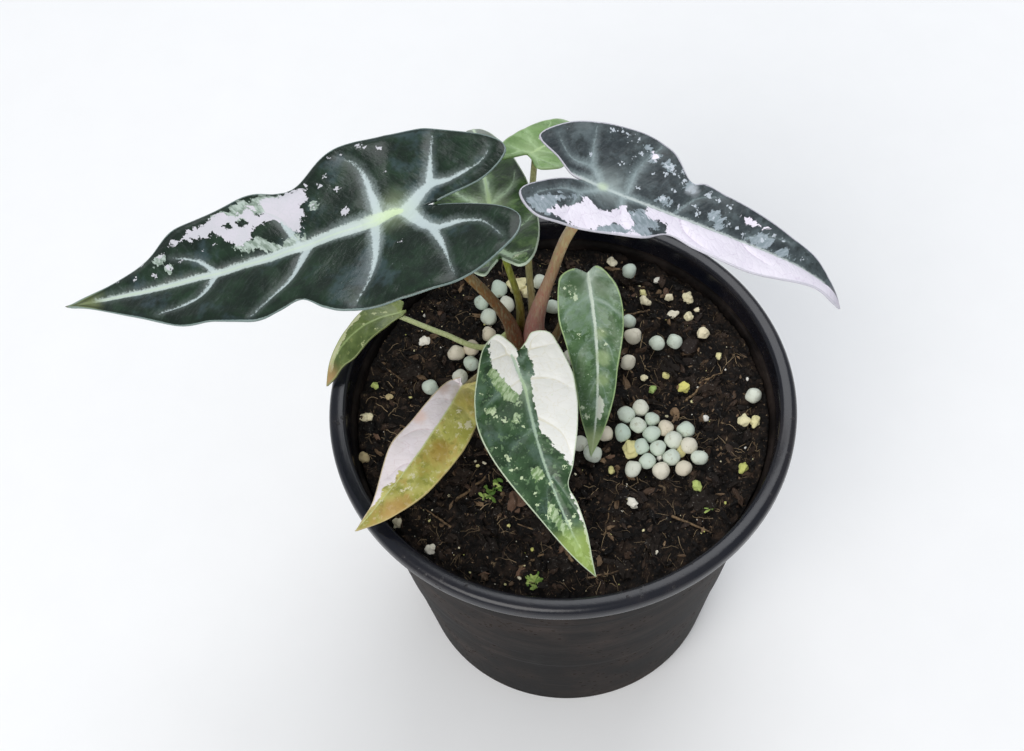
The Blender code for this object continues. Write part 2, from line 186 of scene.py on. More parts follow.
class Finish:
    """A material and the tree behind its Principled shader."""

    def __init__(self, name, roughness=0.5, specular=0.5):
        self.material = bpy.data.materials.new(name)
        self.material.use_nodes = True
        self.tree = self.material.node_tree
        self.shader = self.tree.nodes["Principled BSDF"]
        self.shader.inputs["Roughness"].default_value = roughness
        self.shader.inputs["Specular IOR Level"].default_value = specular

    def node(self, kind, settings, sockets, out=0):
        made = self.tree.nodes.new(kind)
        for key, value in settings.items():
            if key == "stops":
                ramp = made.color_ramp
                while len(ramp.elements) < len(value):
                    ramp.elements.new(0.5)
                for element, (place, colour) in zip(ramp.elements, value):
                    element.position, element.color = place, linear(colour)
            else:
                setattr(made, key, value)
        for key, value in sockets.items():
            self.plug(made.inputs[key], value)
        return Sock(self, made.outputs[out])

    def plug(self, socket, value):
        if isinstance(value, Sock):
            self.tree.links.new(value.socket, socket)
        else:
            socket.default_value = value

    def set(self, **values):
        for key, value in values.items():
            self.plug(self.shader.inputs[key.replace("_", " ")], value)

    def mix(self, factor, first, second):
        """Colour mix: first where factor is 0, second where it is 1."""
        pick = [value if isinstance(value, Sock) else linear(value) for value in (first, second)]
        return self.node("ShaderNodeMix", {"data_type": "RGBA"},
                         {0: factor, 6: pick[0], 7: pick[1]}, 2)

    def place(self, uv=None, scale=(1, 1, 1)):
        """Object coordinates, or a UV map, stretched for a pattern."""
        if uv:
            source = self.node("ShaderNodeUVMap", {"uv_map": uv}, {})
        else:
            source = self.node("ShaderNodeTexCoord", {}, {}, "Object")
        return self.node("ShaderNodeMapping", {}, {"Vector": source, "Scale": scale})

    def noise(self, where, scale=1.0, detail=3.0, rough=0.55):
        """Fractal noise of about 0 to 1, averaging one half."""
        return self.node("ShaderNodeTexNoise", {}, {
            "Vector": where, "Scale": scale, "Detail": detail, "Roughness": rough})

    def cells(self, where, scale=1.0, feature="F1", out="Distance"):
        """Voronoi cells: by default the distance to the nearest cell's middle."""
        return self.node("ShaderNodeTexVoronoi", {"feature": feature},
                         {"Vector": where, "Scale": scale}, out)

    def field(self, name):
        """A number stored on the piece's own points."""
        return self.node("ShaderNodeAttribute", {"attribute_name": name}, {}, "Fac")

    def bump(self, *heights):
        """Stack of (height, millimetres for a height of 1) ending in a normal."""
        normal = None
        for height, distance in heights:
            sockets = {"Height": height, "Strength": 1.0, "Distance": distance * MM}
            if normal:
                sockets["Normal"] = normal
            normal = self.node("ShaderNodeBump", {}, sockets)
        self.set(Normal=normal)


floor_finish = Finish("floor_card", 0.85, 0.2)
grain = floor_finish.noise(floor_finish.place(), 40.0)
floor_finish.set(Base_Color=floor_finish.mix(grain, (247, 247, 247), (251, 251, 251)))
print("Finish kit ready")

# %% [markdown]
# ## From bmesh to a piece
# Every piece ends the same way: it becomes a smooth-shaded object at the origin
# that rides on the plant's one body, takes its own finishes and hides any CAD
# solids it stands for. A helper merges doubled points and turns faces outwards
# for the pieces that call it.

# %% Piece helper
MERGE, FLOOR_REACH = 1e-6, 3.0


def mesh_of(name, bm):
    """A mesh from a bmesh, which is then freed."""
    mesh = bpy.data.meshes.new(name)
    bm.to_mesh(mesh)
    bm.free()
    return mesh


def closed_up(bm):
    """Merge doubled points, then turn every face outwards."""
    bmesh.ops.remove_doubles(bm, verts=bm.verts, dist=MERGE)
    bmesh.ops.recalc_face_normals(bm, faces=bm.faces)


def piece(name, source, finishes, replaced=(), crease=50.0):
    """Make a mesh object from a bmesh or a mesh and tie it to the frame."""
    mesh = mesh_of(name, source) if isinstance(source, bmesh.types.BMesh) else source
    mesh.shade_smooth()
    mesh.set_sharp_from_angle(angle=math.radians(crease))
    mesh.materials.clear()
    for finish in finishes:
        mesh.materials.append(finish.material)
    made = linked(name, mesh)
    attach(made, "root")
    if replaced:
        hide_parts(*replaced)
    mesh.calc_loop_triangles()
    print(f"{name}: {len(mesh.vertices)} points, {len(mesh.loop_triangles)} triangles")
    return made


def turned(profile, segments):
    """Spin (radius, height) points in mm about the upright axis into a closed shell."""
    bm = bmesh.new()
    verts = [bm.verts.new((r * MM, 0.0, z * MM)) for r, z in profile]
    edges = [bm.edges.new(pair) for pair in zip(verts, verts[1:])]
    bmesh.ops.spin(bm, geom=verts + edges, cent=(0, 0, 0), axis=(0, 0, 1),
                   angle=2.0 * math.pi, steps=segments, use_merge=True)
    closed_up(bm)
    return bm


bm = bmesh.new()
bmesh.ops.create_grid(bm, x_segments=1, y_segments=1, size=FLOOR_REACH)
floor = linked("floor", mesh_of("floor", bm))
floor.data.materials.append(floor_finish.material)
floor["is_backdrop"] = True
print("Floor laid, metres across:", 2 * FLOOR_REACH)

# %% [markdown]
# ## The nursery pot
# The pot is injection-moulded polypropylene about 1.5 mm thick: a tapered wall, a
# rolled rim, a step inside where stacked pots rest, two faint rings and holes in
# the floor. A lathe shape like this is a profile spun about its axis. The rim's
# bead is drawn with many points, because it carries the longest highlight.
# The drain holes are cut by a Boolean, whose result is then kept as plain mesh.

# %% Pot profile
BASE, SHOULDER, SHOULDER_Z = 55.0, 69.4, 118.0
WALL, FLOOR, RINGS_Z, RING_STEP, RING_SOFT = 1.5, 1.6, (48.0, 97.0), 0.4, 0.18
STACK_Z = 116.8
SLOPE = (SHOULDER - BASE) / SHOULDER_Z


def outer_radius(z):
    """Outside of the wall, which grows by a small rounded step at each ring."""
    grown = sum(RING_STEP / (1.0 + math.exp(-(z - ring) / RING_SOFT)) for ring in RINGS_Z)
    return BASE + SLOPE * z + grown - RING_STEP * len(RINGS_Z)


def inner_radius(z):
    """Inside of the wall, which has no rings."""
    return BASE + SLOPE * z - WALL - RING_STEP


def arc(centre, radius, start, end, steps):
    """Points on part of a circle, in degrees from the radius axis."""
    angles = [math.radians(start + (end - start) * i / steps) for i in range(steps + 1)]
    return [(centre[0] + radius * math.cos(a), centre[1] + radius * math.sin(a))
            for a in angles]


heights = [1.6, 8, 20, 34, 44, 46.5, 47.4, 47.7, 48, 48.3, 48.6, 49.5, 52, 66, 80, 92,
           95.5, 96.4, 96.7, 97, 97.3, 97.6, 98.5, 102, 110, 115]
profile = [(0, 0), (30, 0), (51, 0), (52.6, 0.0)]
profile += arc((outer_radius(1.5) - 1.5, 1.5), 1.5, -80, -8, 5)
profile += [(outer_radius(z), z) for z in heights]
profile += [(SHOULDER - 0.1, 117.3), (SHOULDER + 0.1, 118.4), (69.7, 119.6)]
profile += arc((71.4, 121.0), 0.75, 200, 270, 4)
profile += arc((72.6, 122.9), 2.4, -80, 0, 7)
profile += arc((72.6, 124.4), 2.4, 8, 90, 8)
profile += [(71.8, 126.9), (71.0, 126.8)]
profile += arc((71.0, 125.2), 1.6, 98, 172, 6)
profile += [(69.3, 124.0), (69.1, 121.0), (68.9, 118.8)]
profile += arc((68.2, 118.5), 0.6, -10, -80, 3)
profile += [(inner_radius(STACK_Z) + 0.25, STACK_Z + 0.3)]
profile += [(inner_radius(STACK_Z), STACK_Z - 0.5)]
profile += [(inner_radius(z), z) for z in (108, 97, 80, 60, 40, 20, 6, 3)]
profile += [(inner_radius(0) - 1.4, FLOOR), (30, FLOOR), (0, FLOOR)]
print("Pot profile:", len(profile), "points")

# %% Pot, with its drain holes
POT_STEPS, RIM_Z = 180, 119.4
HOLES, HOLE_RING, HOLE_RADIUS, HOLE_DEEP = 8, 45.0, 4.0, 9.0
pot_shell = linked("pot_shell", mesh_of("pot_shell", turned(profile, POT_STEPS)))
cutters = bmesh.new()
for i in range(HOLES):
    angle = 2.0 * math.pi * (i + 0.5) / HOLES
    where = Vector((math.cos(angle), math.sin(angle), 0.0)) * HOLE_RING * MM
    bmesh.ops.create_cone(cutters, cap_ends=True, segments=28, radius1=HOLE_RADIUS * MM,
                          radius2=HOLE_RADIUS * MM, depth=HOLE_DEEP * MM,
                          matrix=Matrix.Translation(where))
hole_cutter = linked("hole_cutter", mesh_of("hole_cutter", cutters))
pot_shell.modifiers.new("holes", "BOOLEAN").object = hole_cutter
bpy.context.view_layer.update()
graph = bpy.context.evaluated_depsgraph_get()
pot_cut = bpy.data.meshes.new_from_object(pot_shell.evaluated_get(graph))
for spent in (pot_shell, hole_cutter):
    bpy.data.objects.remove(spent, do_unlink=True)
print("Pot cut:", len(pot_cut.vertices), "points")

# %% [markdown]
# ## Black plastic
# New black plastic is not flat black. Its rim is satin and picks up a cool sheen,
# and its blue-black skin colour is partly a painted reflection of the sky, while the
# body is scuffed matt and a little brown with dried compost. Fine horizontal
# scratches come from stacking, and specks of peat stick inside the rim.
# One recipe makes both finishes, and each face takes one by its height.

# %% Pot finishes
def plastic_finish(name, skin, dust, roughness, specular):
    """Moulded plastic; dust from 0 to 1 says how much dry compost clings to it."""
    plastic = Finish(name, roughness, specular)
    whole = plastic.place()
    smear = plastic.noise(whole, 45.0, 5.0, 0.65)
    fine = plastic.noise(whole, 420.0, 4.0, 0.65)
    scuff = plastic.noise(plastic.place(scale=(9, 9, 260)), 1.0, 5.0, 0.7)
    specks = plastic.cells(whole, 380.0).ramp(0.30, 0.16) * smear.ramp(0.50, 0.62)
    band = plastic.noise(plastic.place(scale=(12, 12, 70)), 1.0, 4.0, 0.65)
    clinging = (smear.ramp(0.42, 0.70) * 0.6 + band.ramp(0.46, 0.70) * 0.4) * dust
    dusty = plastic.mix(clinging, skin, (76, 65, 60))
    scratched = plastic.mix(scuff.ramp(0.60, 0.74) * 0.6 * dust, dusty, (92, 88, 90))
    plastic.set(Base_Color=plastic.mix(specks * 0.35, scratched, (52, 45, 38)),
                Roughness=roughness + (smear - 0.5) * 0.22 + specks * 0.3)
    plastic.bump((fine, 0.05), (scuff, 0.06), (specks, 0.12))
    return plastic


wall_plastic = plastic_finish("wall_plastic", (14, 12, 12), 0.55, 0.56, 0.07)
# The rim's cool blue skin is partly a painted reflection of the sky.
rim_plastic = plastic_finish("rim_plastic", (17, 19, 28), 0.22, 0.24, 0.42)
pot = piece("nursery_pot", pot_cut, [wall_plastic, rim_plastic], ["pot"], 40.0)
for face in pot.data.polygons:
    face.material_index = 1 if face.center.z > RIM_Z * MM else 0
print("Rim faces:", sum(face.material_index for face in pot.data.polygons))

# %% [markdown]
# ## Scattered bits
# Compost is made of thousands of small things. One round seed shape, squashed,
# turned and dented differently each time, makes crumbs, bark, grit and fertiliser
# alike. Each seed is an icosphere of only a few dozen faces. They are gathered in
# small batches, because one growing bmesh gets slow, and every bit carries a
# `tone` from 0 to 1 that its finish turns into a colour. Roots and twigs are
# bevelled curves that are made into plain mesh.

# %% Bits and strands
def bits(seeds, dent, wave=1.2, batch=120):
    """One mesh from (place, size, turn, subdivisions, tone) seeds, in mm."""
    whole, tones = bmesh.new(), []
    for first in range(0, len(seeds), batch):
        part = bmesh.new()
        for number, (place, size, turn, cuts, tone) in enumerate(seeds[first:first + batch]):
            made = bmesh.ops.create_icosphere(part, subdivisions=cuts, radius=1.0)["verts"]
            offset = Vector((first + number, 3.7 * number, 1.3)) * 2.1
            for vert in made:
                vert.co *= 1.0 + dent * noise.noise(vert.co * wave + offset)
            shape = (Matrix.Translation(Vector(place) * MM) @ turn.to_matrix().to_4x4()
                     @ Matrix.Diagonal((*(Vector(size) * MM), 1.0)))
            bmesh.ops.transform(part, matrix=shape, verts=made)
            tones += [tone] * len(made)
        batch_mesh = mesh_of("batch", part)
        whole.from_mesh(batch_mesh)
        bpy.data.meshes.remove(batch_mesh)
    mesh = mesh_of("bits", whole)
    layer = mesh.attributes.new("tone", "FLOAT", "POINT")
    layer.data.foreach_set("value", np.array(tones, np.float32))
    return mesh


def strands(paths, sides):
    """One mesh from (points in mm, first radius, last radius) strands."""
    curve = bpy.data.curves.new("strands", "CURVE")
    curve.dimensions = "3D"
    curve.bevel_depth = MM
    curve.bevel_resolution = sides
    curve.use_fill_caps = True
    for points, start, end in paths:
        spline = curve.splines.new("POLY")
        spline.points.add(len(points) - 1)
        for i, (point, place) in enumerate(zip(spline.points, points)):
            point.co = (*(Vector(place) * MM), 1.0)
            point.radius = start + (end - start) * i / (len(points) - 1)
    rope = bpy.data.objects.new("strands", curve)
    mesh = bpy.data.meshes.new_from_object(rope)
    bpy.data.objects.remove(rope)
    bm = bmesh.new()
    bm.from_mesh(mesh)
    bmesh.ops.remove_doubles(bm, verts=bm.verts, dist=1e-7)
    bmesh.ops.recalc_face_normals(bm, faces=bm.faces)
    return bm


def any_turn(rng, tilt=3.1):
    """A random turn about the upright, tipped by up to tilt radians."""
    return (Matrix.Rotation(rng.uniform(0, 6.28), 3, "Z")
            @ Matrix.Rotation(rng.uniform(-tilt, tilt), 3, "X")).to_euler()


print("Bits and strands ready")

# %% [markdown]
# ## The compost
# A peat and bark mix fills the pot to 12 mm under the rim. Its top is a grid bent
# into a disc, lifted by the CAD's own gentle rises and then by rough noise, so
# there are clods and hollows to catch the light. The border is extruded down the
# wall and closed, which makes a real plug and not a lid. A shallow socket takes
# the plant's crown.

# %% Compost surface
SOIL_LEVEL, GAP, SOIL_GRID = 115.0, 0.3, 190
CROWN_CENTRE, CROWN_RADIUS, SOCKET_DEEP = (-9.5, 26.8), 7.8, 7.8
SOIL_RADIUS = inner_radius(SOIL_LEVEL) - GAP


def soil_height(x, y):
    """The CAD's surface: a few low rises, level at the wall."""
    fade = max(0.0, 1.0 - (math.hypot(x, y) / 66.0) ** 4)
    swell = 0.7 * math.sin(x / 11.0 + 0.6) * math.cos(y / 13.0)
    swell += 0.4 * math.sin((x + 1.6 * y) / 9.0)
    return SOIL_LEVEL + fade * swell


def rough_height(x, y):
    """The CAD's surface with clods, grit and hollows, a little higher at the wall."""
    place = Vector((x, y, 0.0))
    clods = noise.fractal(place * 0.13, 0.8, 2.1, 5) * 1.9
    grit = noise.noise(place * 0.85) * 0.65 + noise.noise(place * 1.9) * 0.45
    hollow = -abs(noise.noise(place * 0.30 + Vector((9, 4, 1)))) * 1.9
    lip = max(0.0, math.hypot(x, y) - 60.0) * 0.12
    return soil_height(x, y) + clods + grit + hollow + lip


bm = bmesh.new()
bmesh.ops.create_grid(bm, x_segments=SOIL_GRID, y_segments=SOIL_GRID, size=1.0)
for vert in bm.verts:
    u, v = vert.co.x, vert.co.y
    x = SOIL_RADIUS * u * math.sqrt(1.0 - 0.5 * v * v)
    y = SOIL_RADIUS * v * math.sqrt(1.0 - 0.5 * u * u)
    z = rough_height(x, y)
    if math.hypot(x - CROWN_CENTRE[0], y - CROWN_CENTRE[1]) < CROWN_RADIUS - 0.8:
        z = SOIL_LEVEL - SOCKET_DEEP
    vert.co = Vector((x, y, z)) * MM
for z in (60.0, 3.5):
    border = [edge for edge in bm.edges if edge.is_boundary]
    grown = bmesh.ops.extrude_edge_only(bm, edges=border)["geom"]
    for vert in (g for g in grown if isinstance(g, bmesh.types.BMVert)):
        flat = vert.co.xy.normalized() * (inner_radius(z) - GAP) * MM
        vert.co = (*flat, z * MM)
bmesh.ops.holes_fill(bm, edges=[edge for edge in bm.edges if edge.is_boundary], sides=0)
bmesh.ops.recalc_face_normals(bm, faces=bm.faces)
print("Compost plug:", len(bm.verts), "points")

# %% [markdown]
# ## Peat colours
# Wet peat is nearly black in its hollows and warm brown where it stands up and
# dries. Noise at three sizes gives clods, crumbs and fibres. The fibres come from
# noise stretched in one direction and bent, so that it reads as short strands.

# %% Compost finish
WANDER = (0.012, 0.012, 0.012)
DARK, BROWN, STRAW = (11, 8, 7), (66, 52, 42), (164, 141, 110)
peat = Finish("peat_mix", 0.78, 0.22)
whole = peat.place()
clod = peat.noise(whole, 190.0, 4.0, 0.6)
crumb = peat.noise(whole, 800.0, 4.0, 0.7)
drift = peat.node("ShaderNodeTexNoise", {},
                  {"Vector": whole, "Scale": 90.0, "Detail": 1.0}, "Color")
warped = peat.node("ShaderNodeVectorMath", {"operation": "MULTIPLY_ADD"},
                   {0: drift, 1: WANDER, 2: whole})
drawn = peat.node("ShaderNodeMapping", {}, {"Vector": warped, "Scale": (1900, 260, 400),
                                            "Rotation": (0, 0, 0.6)})
strand = peat.node("ShaderNodeTexNoise", {}, {"Vector": drawn, "Scale": 1.0, "Detail": 2.0})
thread = strand.ramp(0.62, 0.70) * clod.ramp(0.46, 0.62)
dry = clod.ramp(0.46, 0.72) * 0.6 + crumb.ramp(0.50, 0.74) * 0.5
flecked = peat.mix(crumb.ramp(0.63, 0.73) * 0.7, peat.mix(dry, DARK, BROWN), STRAW)
peat.set(Base_Color=peat.mix(thread * 0.6, flecked, STRAW),
         Roughness=0.86 - crumb.ramp(0.5, 0.3) * 0.38)
peat.bump((clod, 0.5), (crumb, 0.35), (thread, 0.15))
piece("compost", bm, [peat], ["soil"], 180.0)

# %% [markdown]
# ## Crumbs, bark and roots
# The grid can't overhang, so loose crumbs are laid on it: a few thousand, most of
# twenty or eighty faces. A few bigger clods are added, clear of the places where
# fertiliser or the stems will go. Bark chips are flatter and redder. Both are the
# same finish family with the bit's tone moving its colour. Fine roots and a few
# twigs lie across the top.

# %% Peat crumbs
rng = random.Random(7)


def on_soil(rng, reach=64.5):
    """An even random place on the compost, clear of the crown."""
    while True:
        r, a = reach * math.sqrt(rng.random()), rng.uniform(0, 2 * math.pi)
        x, y = r * math.cos(a), r * math.sin(a)
        if math.hypot(x - CROWN_CENTRE[0], y - CROWN_CENTRE[1]) > CROWN_RADIUS + 1.0:
            return x, y


def tone_finish(name, stops, roughness, bump_mm, stain):
    """A finish whose colour follows each bit's tone, with stains, grain and small painted highlights."""
    made = Finish(name, roughness, 0.25)
    whole = made.place()
    tone, cloud = made.field("tone"), made.noise(whole, 520.0, 4.0, 0.65)
    base = made.node("ShaderNodeValToRGB", {"stops": stops}, {"Fac": tone}, "Color")
    blotch_and_sheen = made.noise(whole, 1500.0, 3.0, 0.6)
    stained = made.mix(cloud.ramp(0.54, 0.74) * 0.55, base, stain)
    # Painted highlights: small spots lightened towards warm white.
    lit = made.mix(blotch_and_sheen.ramp(0.60, 0.80) * 0.25, stained, (255, 250, 238))
    made.set(Base_Color=lit, Roughness=roughness + (cloud - 0.5) * 0.3)
    made.bump((cloud, bump_mm), (blotch_and_sheen, bump_mm * 0.4))
    return made


PEAT_STOPS = [(0.0, (12, 9, 8)), (0.40, (32, 25, 20)), (0.75, (68, 52, 41)),
              (1.0, (138, 114, 88))]
CRUMBS, CLODS, BIG_CRUMB = 3600, 60, 0.95
KEEP_CLEAR = ((30.0, -13.0, 19.0), (-24.0, 34.0, 17.0), (30.0, 30.0, 13.0), (4.0, 28.0, 9.0))
crumb_seeds = []
for _ in range(CRUMBS):
    x, y = on_soil(rng)
    size = 0.34 + 1.15 * rng.random() ** 3.6
    squash = (size * rng.uniform(0.8, 2.2), size * rng.uniform(0.5, 1.1), size * 0.6)
    crumb_seeds.append(((x, y, rough_height(x, y) + 0.2 * size), squash, any_turn(rng),
                        2 if size > BIG_CRUMB else 1, rng.random() ** 1.9))
while len(crumb_seeds) < CRUMBS + CLODS:
    x, y = on_soil(rng, 60.0)
    if any(math.hypot(x - px, y - py) < reach for px, py, reach in KEEP_CLEAR):
        continue
    size = rng.uniform(1.6, 3.6)
    clod = (size, size * rng.uniform(0.6, 0.95), size * rng.uniform(0.4, 0.6))
    crumb_seeds.append(((x, y, rough_height(x, y) + 0.1 * size), clod, any_turn(rng, 0.5), 3,
                        rng.uniform(0.1, 0.5)))
crumb_finish = tone_finish("peat_crumb", PEAT_STOPS, 0.8, 0.3, (20, 15, 12))
piece("peat_crumbs", bits(crumb_seeds, 1.1, 1.9), [crumb_finish], (), 25.0)

# %% Bark chips
CHIPS, CHIP_REACH = 150, 63.0
chip_seeds = []
for _ in range(CHIPS):
    x, y = on_soil(rng, CHIP_REACH)
    size = rng.uniform(0.8, 2.2)
    chip_seeds.append(((x, y, rough_height(x, y) + 0.5), (size, size * 0.55, size * 0.28),
                       any_turn(rng, 0.7), 2, 0.92 * rng.random()))
chip_seeds.append(((-15.3, -32.5, 117.2), (3.1, 2.3, 1.6), any_turn(rng, 0.3), 3, 0.88))
chip_seeds.append(((43.4, 24.6, 116.6), (3.4, 2.2, 0.9), any_turn(rng, 0.3), 2, 0.35))
BARK_STOPS = [(0.0, (18, 13, 11)), (0.45, (36, 26, 21)), (0.8, (60, 47, 38)),
              (0.95, (120, 92, 74))]
bark_finish = tone_finish("bark", BARK_STOPS, 0.7, 0.3, (36, 24, 18))
piece("bark_chips", bits(chip_seeds, 0.9, 1.4), [bark_finish], (), 35.0)

# %% Roots
FIBRES, FIBRE_STEPS, FIBRE_LIFT = 620, 7, 0.3


def lying(rng, x, y, length, hump):
    """A crooked path of points that lies on the compost, humped in its middle."""
    heading, points = rng.uniform(0, 2 * math.pi), []
    for i in range(FIBRE_STEPS + 1):
        z = rough_height(x, y) + FIBRE_LIFT + hump * math.sin(math.pi * i / FIBRE_STEPS)
        points.append((x, y, z))
        heading += rng.uniform(-0.3, 0.3)
        x += math.cos(heading) * length / FIBRE_STEPS
        y += math.sin(heading) * length / FIBRE_STEPS
        if math.hypot(x, y) > 65.0:
            heading += math.pi / 2
            x, y = x * 0.97, y * 0.97
    return points


threads = []
for _ in range(FIBRES):
    x, y = on_soil(rng, CHIP_REACH)
    thin = rng.uniform(0.06, 0.15)
    path = lying(rng, x, y, rng.uniform(2.0, 7.5), rng.uniform(0, 0.9))
    threads.append((path, thin, 0.5 * thin))
root_finish = Finish("root_fibre", 0.7, 0.3)
shade = root_finish.noise(root_finish.place(), 60.0, 3.0)
root_finish.set(Base_Color=root_finish.mix(shade.ramp(0.42, 0.66), (48, 36, 28),
                                           (168, 146, 114)))
root_finish.bump((root_finish.noise(root_finish.place(), 2500.0), 0.05))
piece("root_fibres", strands(threads, 0), [root_finish], (), 60.0)

# %% Twigs
TWIGS = [(-34.6, -30.9, -23.2, -20.8, 0.55), (-14.3, -54.7, -7.1, -50.1, 0.55),
         (0.0, -48.6, 1.8, -52.7, 0.8), (-36.0, -40.0, -44.0, -33.5, 0.4),
         (40.5, 4.0, 49.0, 12.0, 0.5), (45.0, 10.5, 53.5, 14.5, 0.35),
         (33.0, -38.0, 45.0, -44.0, 0.5), (-6.0, -43.0, -15.0, -39.5, 0.35),
         (-52.0, 14.0, -60.0, 21.0, 0.4), (12.0, -44.0, 14.5, -33.0, 0.3),
         (21.0, 38.0, 31.0, 40.0, 0.45), (6.5, -58.5, 20.0, -55.5, 0.35)]
TWIG_STEPS, TWIG_LIFT = 8, 0.7


def twig(x0, y0, x1, y1, radius):
    """A straightish twig between two places on the compost."""
    points = []
    for i in range(TWIG_STEPS + 1):
        x, y = Vector((x0, y0)).lerp(Vector((x1, y1)), i / TWIG_STEPS)
        sway = 0.5 * math.sin(1.9 * i + x0)
        points.append((x + sway * 0.6, y - sway * 0.4,
                       soil_height(x, y) + TWIG_LIFT + sway * 0.3))
    return points, radius, radius * 0.55


twigs = [twig(*laid) for laid in TWIGS]
twig_finish = Finish("twig_bark", 0.65, 0.3)
along_bark = twig_finish.noise(twig_finish.place(scale=(1.0, 1.0, 0.4)), 900.0, 4.0)
twig_finish.set(Base_Color=twig_finish.mix(along_bark.ramp(0.35, 0.7), (58, 44, 32),
                                           (134, 110, 80)))
twig_finish.bump((along_bark, 0.12))
piece("twigs", strands(twigs, 2), [twig_finish], (), 60.0)

# %% [markdown]
# ## Grit, moss and fertiliser
# Pale grit and perlite catch the eye against peat. The larger grains have known
# places; small ones are strewn at random. The fertiliser is coated prills of 5 to
# 6 mm: chalky, mint-grey to beige, slightly dented, lying in one heap and in twos
# and threes. They follow the CAD's prills, drawn together into the heaps they form.

# %% Grit
GRIT = [(21.8, -14.2, 3.0, .55), (37.7, -15.4, 2.0, .55), (30.9, -17.4, 1.5, .05),
        (46.6, -2.7, 1.2, .02), (40.2, 8.9, 1.9, .7), (30.0, 8.5, 1.5, .85),
        (41.9, -28.2, 1.8, .8), (58.7, -4.6, 2.0, .4), (62.2, -5.1, 2.1, .5),
        (56.9, -22.1, 1.8, .75), (21.2, -33.6, 1.8, .1), (15.1, -21.3, 1.5, .6),
        (18.7, 59.8, 1.9, .25), (28.7, 46.9, 1.5, .55), (29.2, 43.5, 1.9, .3),
        (37.4, 44.5, 1.5, .3), (43.8, 43.8, 2.0, .35), (38.3, 37.5, 1.8, .2),
        (43.6, 36.1, 1.8, .35), (46.5, 39.2, 1.1, .3), (-45.8, 29.9, 1.9, .1),
        (-64.0, 0.5, 1.9, .35), (-64.2, -14.6, 1.8, .95), (-52.8, -38.5, 1.9, .3),
        (-61.7, 12.7, 1.3, .8), (-56.8, 7.9, 1.3, .95), (-42.2, -47.8, 1.7, .15),
        (-13.9, 50.5, 3.4, .45), (-10.6, 47.9, 2.4, .4), (47.9, 29.5, 2.2, .3),
        (52.5, 20.5, 1.3, .5), (34.5, 13.6, 1.4, .6), (27.4, 13.2, 1.2, .35),
        (-30.5, 9.5, 1.4, .9), (-25.6, 17.2, 1.5, .45), (33.5, 51.8, 1.3, .1)]
SMALL_GRIT = 260
grit_seeds = []
for x, y, size, tone in GRIT:
    shape = (size, size * rng.uniform(0.7, 0.95), size * rng.uniform(0.6, 0.85))
    grit_seeds.append(((x, y, soil_height(x, y) + 0.55 * size + 0.3), shape,
                       any_turn(rng, 0.5), 3 if size > 1.6 else 2, tone))
for _ in range(SMALL_GRIT):
    x, y = on_soil(rng, 63.5)
    size = 0.22 + 0.6 * rng.random() ** 2.6
    grit_seeds.append(((x, y, rough_height(x, y) + 0.5 * size), (size, size * 0.8, size * 0.7),
                       any_turn(rng), 1, rng.random() * 0.75))
GRIT_STOPS = [(0.0, (238, 237, 232)), (0.3, (234, 224, 192)), (0.5, (229, 221, 168)),
              (0.7, (214, 208, 120)), (0.85, (160, 188, 112)), (1.0, (206, 168, 142))]
grit_finish = tone_finish("pale_grit", GRIT_STOPS, 0.75, 0.25, (150, 128, 96))
piece("pale_grit", bits(grit_seeds, 0.6, 1.3), [grit_finish], (), 40.0)

# %% Moss
TUFTS = ((-9.7, -59.2, 2.2, 26), (-23.5, -28.7, 2.6, 14), (-20.7, -25.6, 2.0, 10),
         (45.3, -36.0, 1.4, 6))
moss_seeds = []
for x, y, spread, count in TUFTS:
    for _ in range(count):
        dx, dy = rng.gauss(0, spread * 0.5), rng.gauss(0, spread * 0.5)
        size = rng.uniform(0.5, 1.2)
        moss_seeds.append(((x + dx, y + dy, soil_height(x, y) + 0.6 + rng.random()),
                           (size * 1.4, size * 0.7, size * 0.25), any_turn(rng, 0.8), 1,
                           rng.random()))
MOSS_STOPS = [(0.0, (70, 104, 38)), (0.5, (118, 146, 68)), (1.0, (182, 200, 116))]
moss_finish = tone_finish("moss", MOSS_STOPS, 0.7, 0.2, (60, 80, 30))
piece("moss_bits", bits(moss_seeds, 0.5), [moss_finish], (), 60.0)

# %% Fertiliser prills
HEAPS = [(20.8, -2.6), (25.5, 0.0), (29.0, -4.1), (24.3, -6.7), (33.2, -7.4), (39.5, -8.3),
         (19.2, -9.1), (13.7, -9.2), (5.6, -12.3), (28.5, -9.9), (35.2, -12.4),
         (40.2, -14.3), (25.0, -14.0), (30.3, -15.0), (43.3, -18.8), (34.4, -18.4),
         (26.7, -19.3), (22.0, -21.9), (30.7, -22.9), (38.0, -22.4), (9.3, -16.2),
         (24.3, 54.9), (23.2, 34.3), (24.4, 28.0), (22.3, 18.0), (32.2, 24.9),
         (38.0, 25.4), (62.4, 3.8), (-20.3, 48.8), (-26.2, 43.4), (-17.7, 42.3),
         (-6.3, 51.4), (-23.8, 37.2), (-2.2, 40.9), (-23.8, 30.3), (-34.8, 23.4),
         (-29.8, 25.0), (-29.6, 19.4), (-33.4, 14.4), (-43.2, 10.5), (3.1, 20.6),
         (5.4, 35.0), (4.2, 28.6)]
prill_seeds = []
for x, y in HEAPS:
    size = rng.uniform(2.55, 2.95)
    shape = (size, size * rng.uniform(0.92, 1.0), size * rng.uniform(0.86, 0.97))
    rest = max(soil_height(x, y), rough_height(x, y) - 0.8)
    prill_seeds.append(((x, y, rest + size + 0.1), shape, any_turn(rng), 3, rng.random()))
PRILL_STOPS = [(0.0, (194, 211, 197)), (0.35, (211, 221, 207)), (0.6, (222, 225, 211)),
               (0.85, (226, 220, 202)), (1.0, (212, 200, 178))]
coat = tone_finish("fertiliser_coat", PRILL_STOPS, 0.55, 0.14, (146, 134, 104))
prill_names = [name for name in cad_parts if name.startswith("prill_")]
piece("fertiliser_prills", bits(prill_seeds, 0.20, 1.0), [coat],
      sorted(prill_names), 60.0)

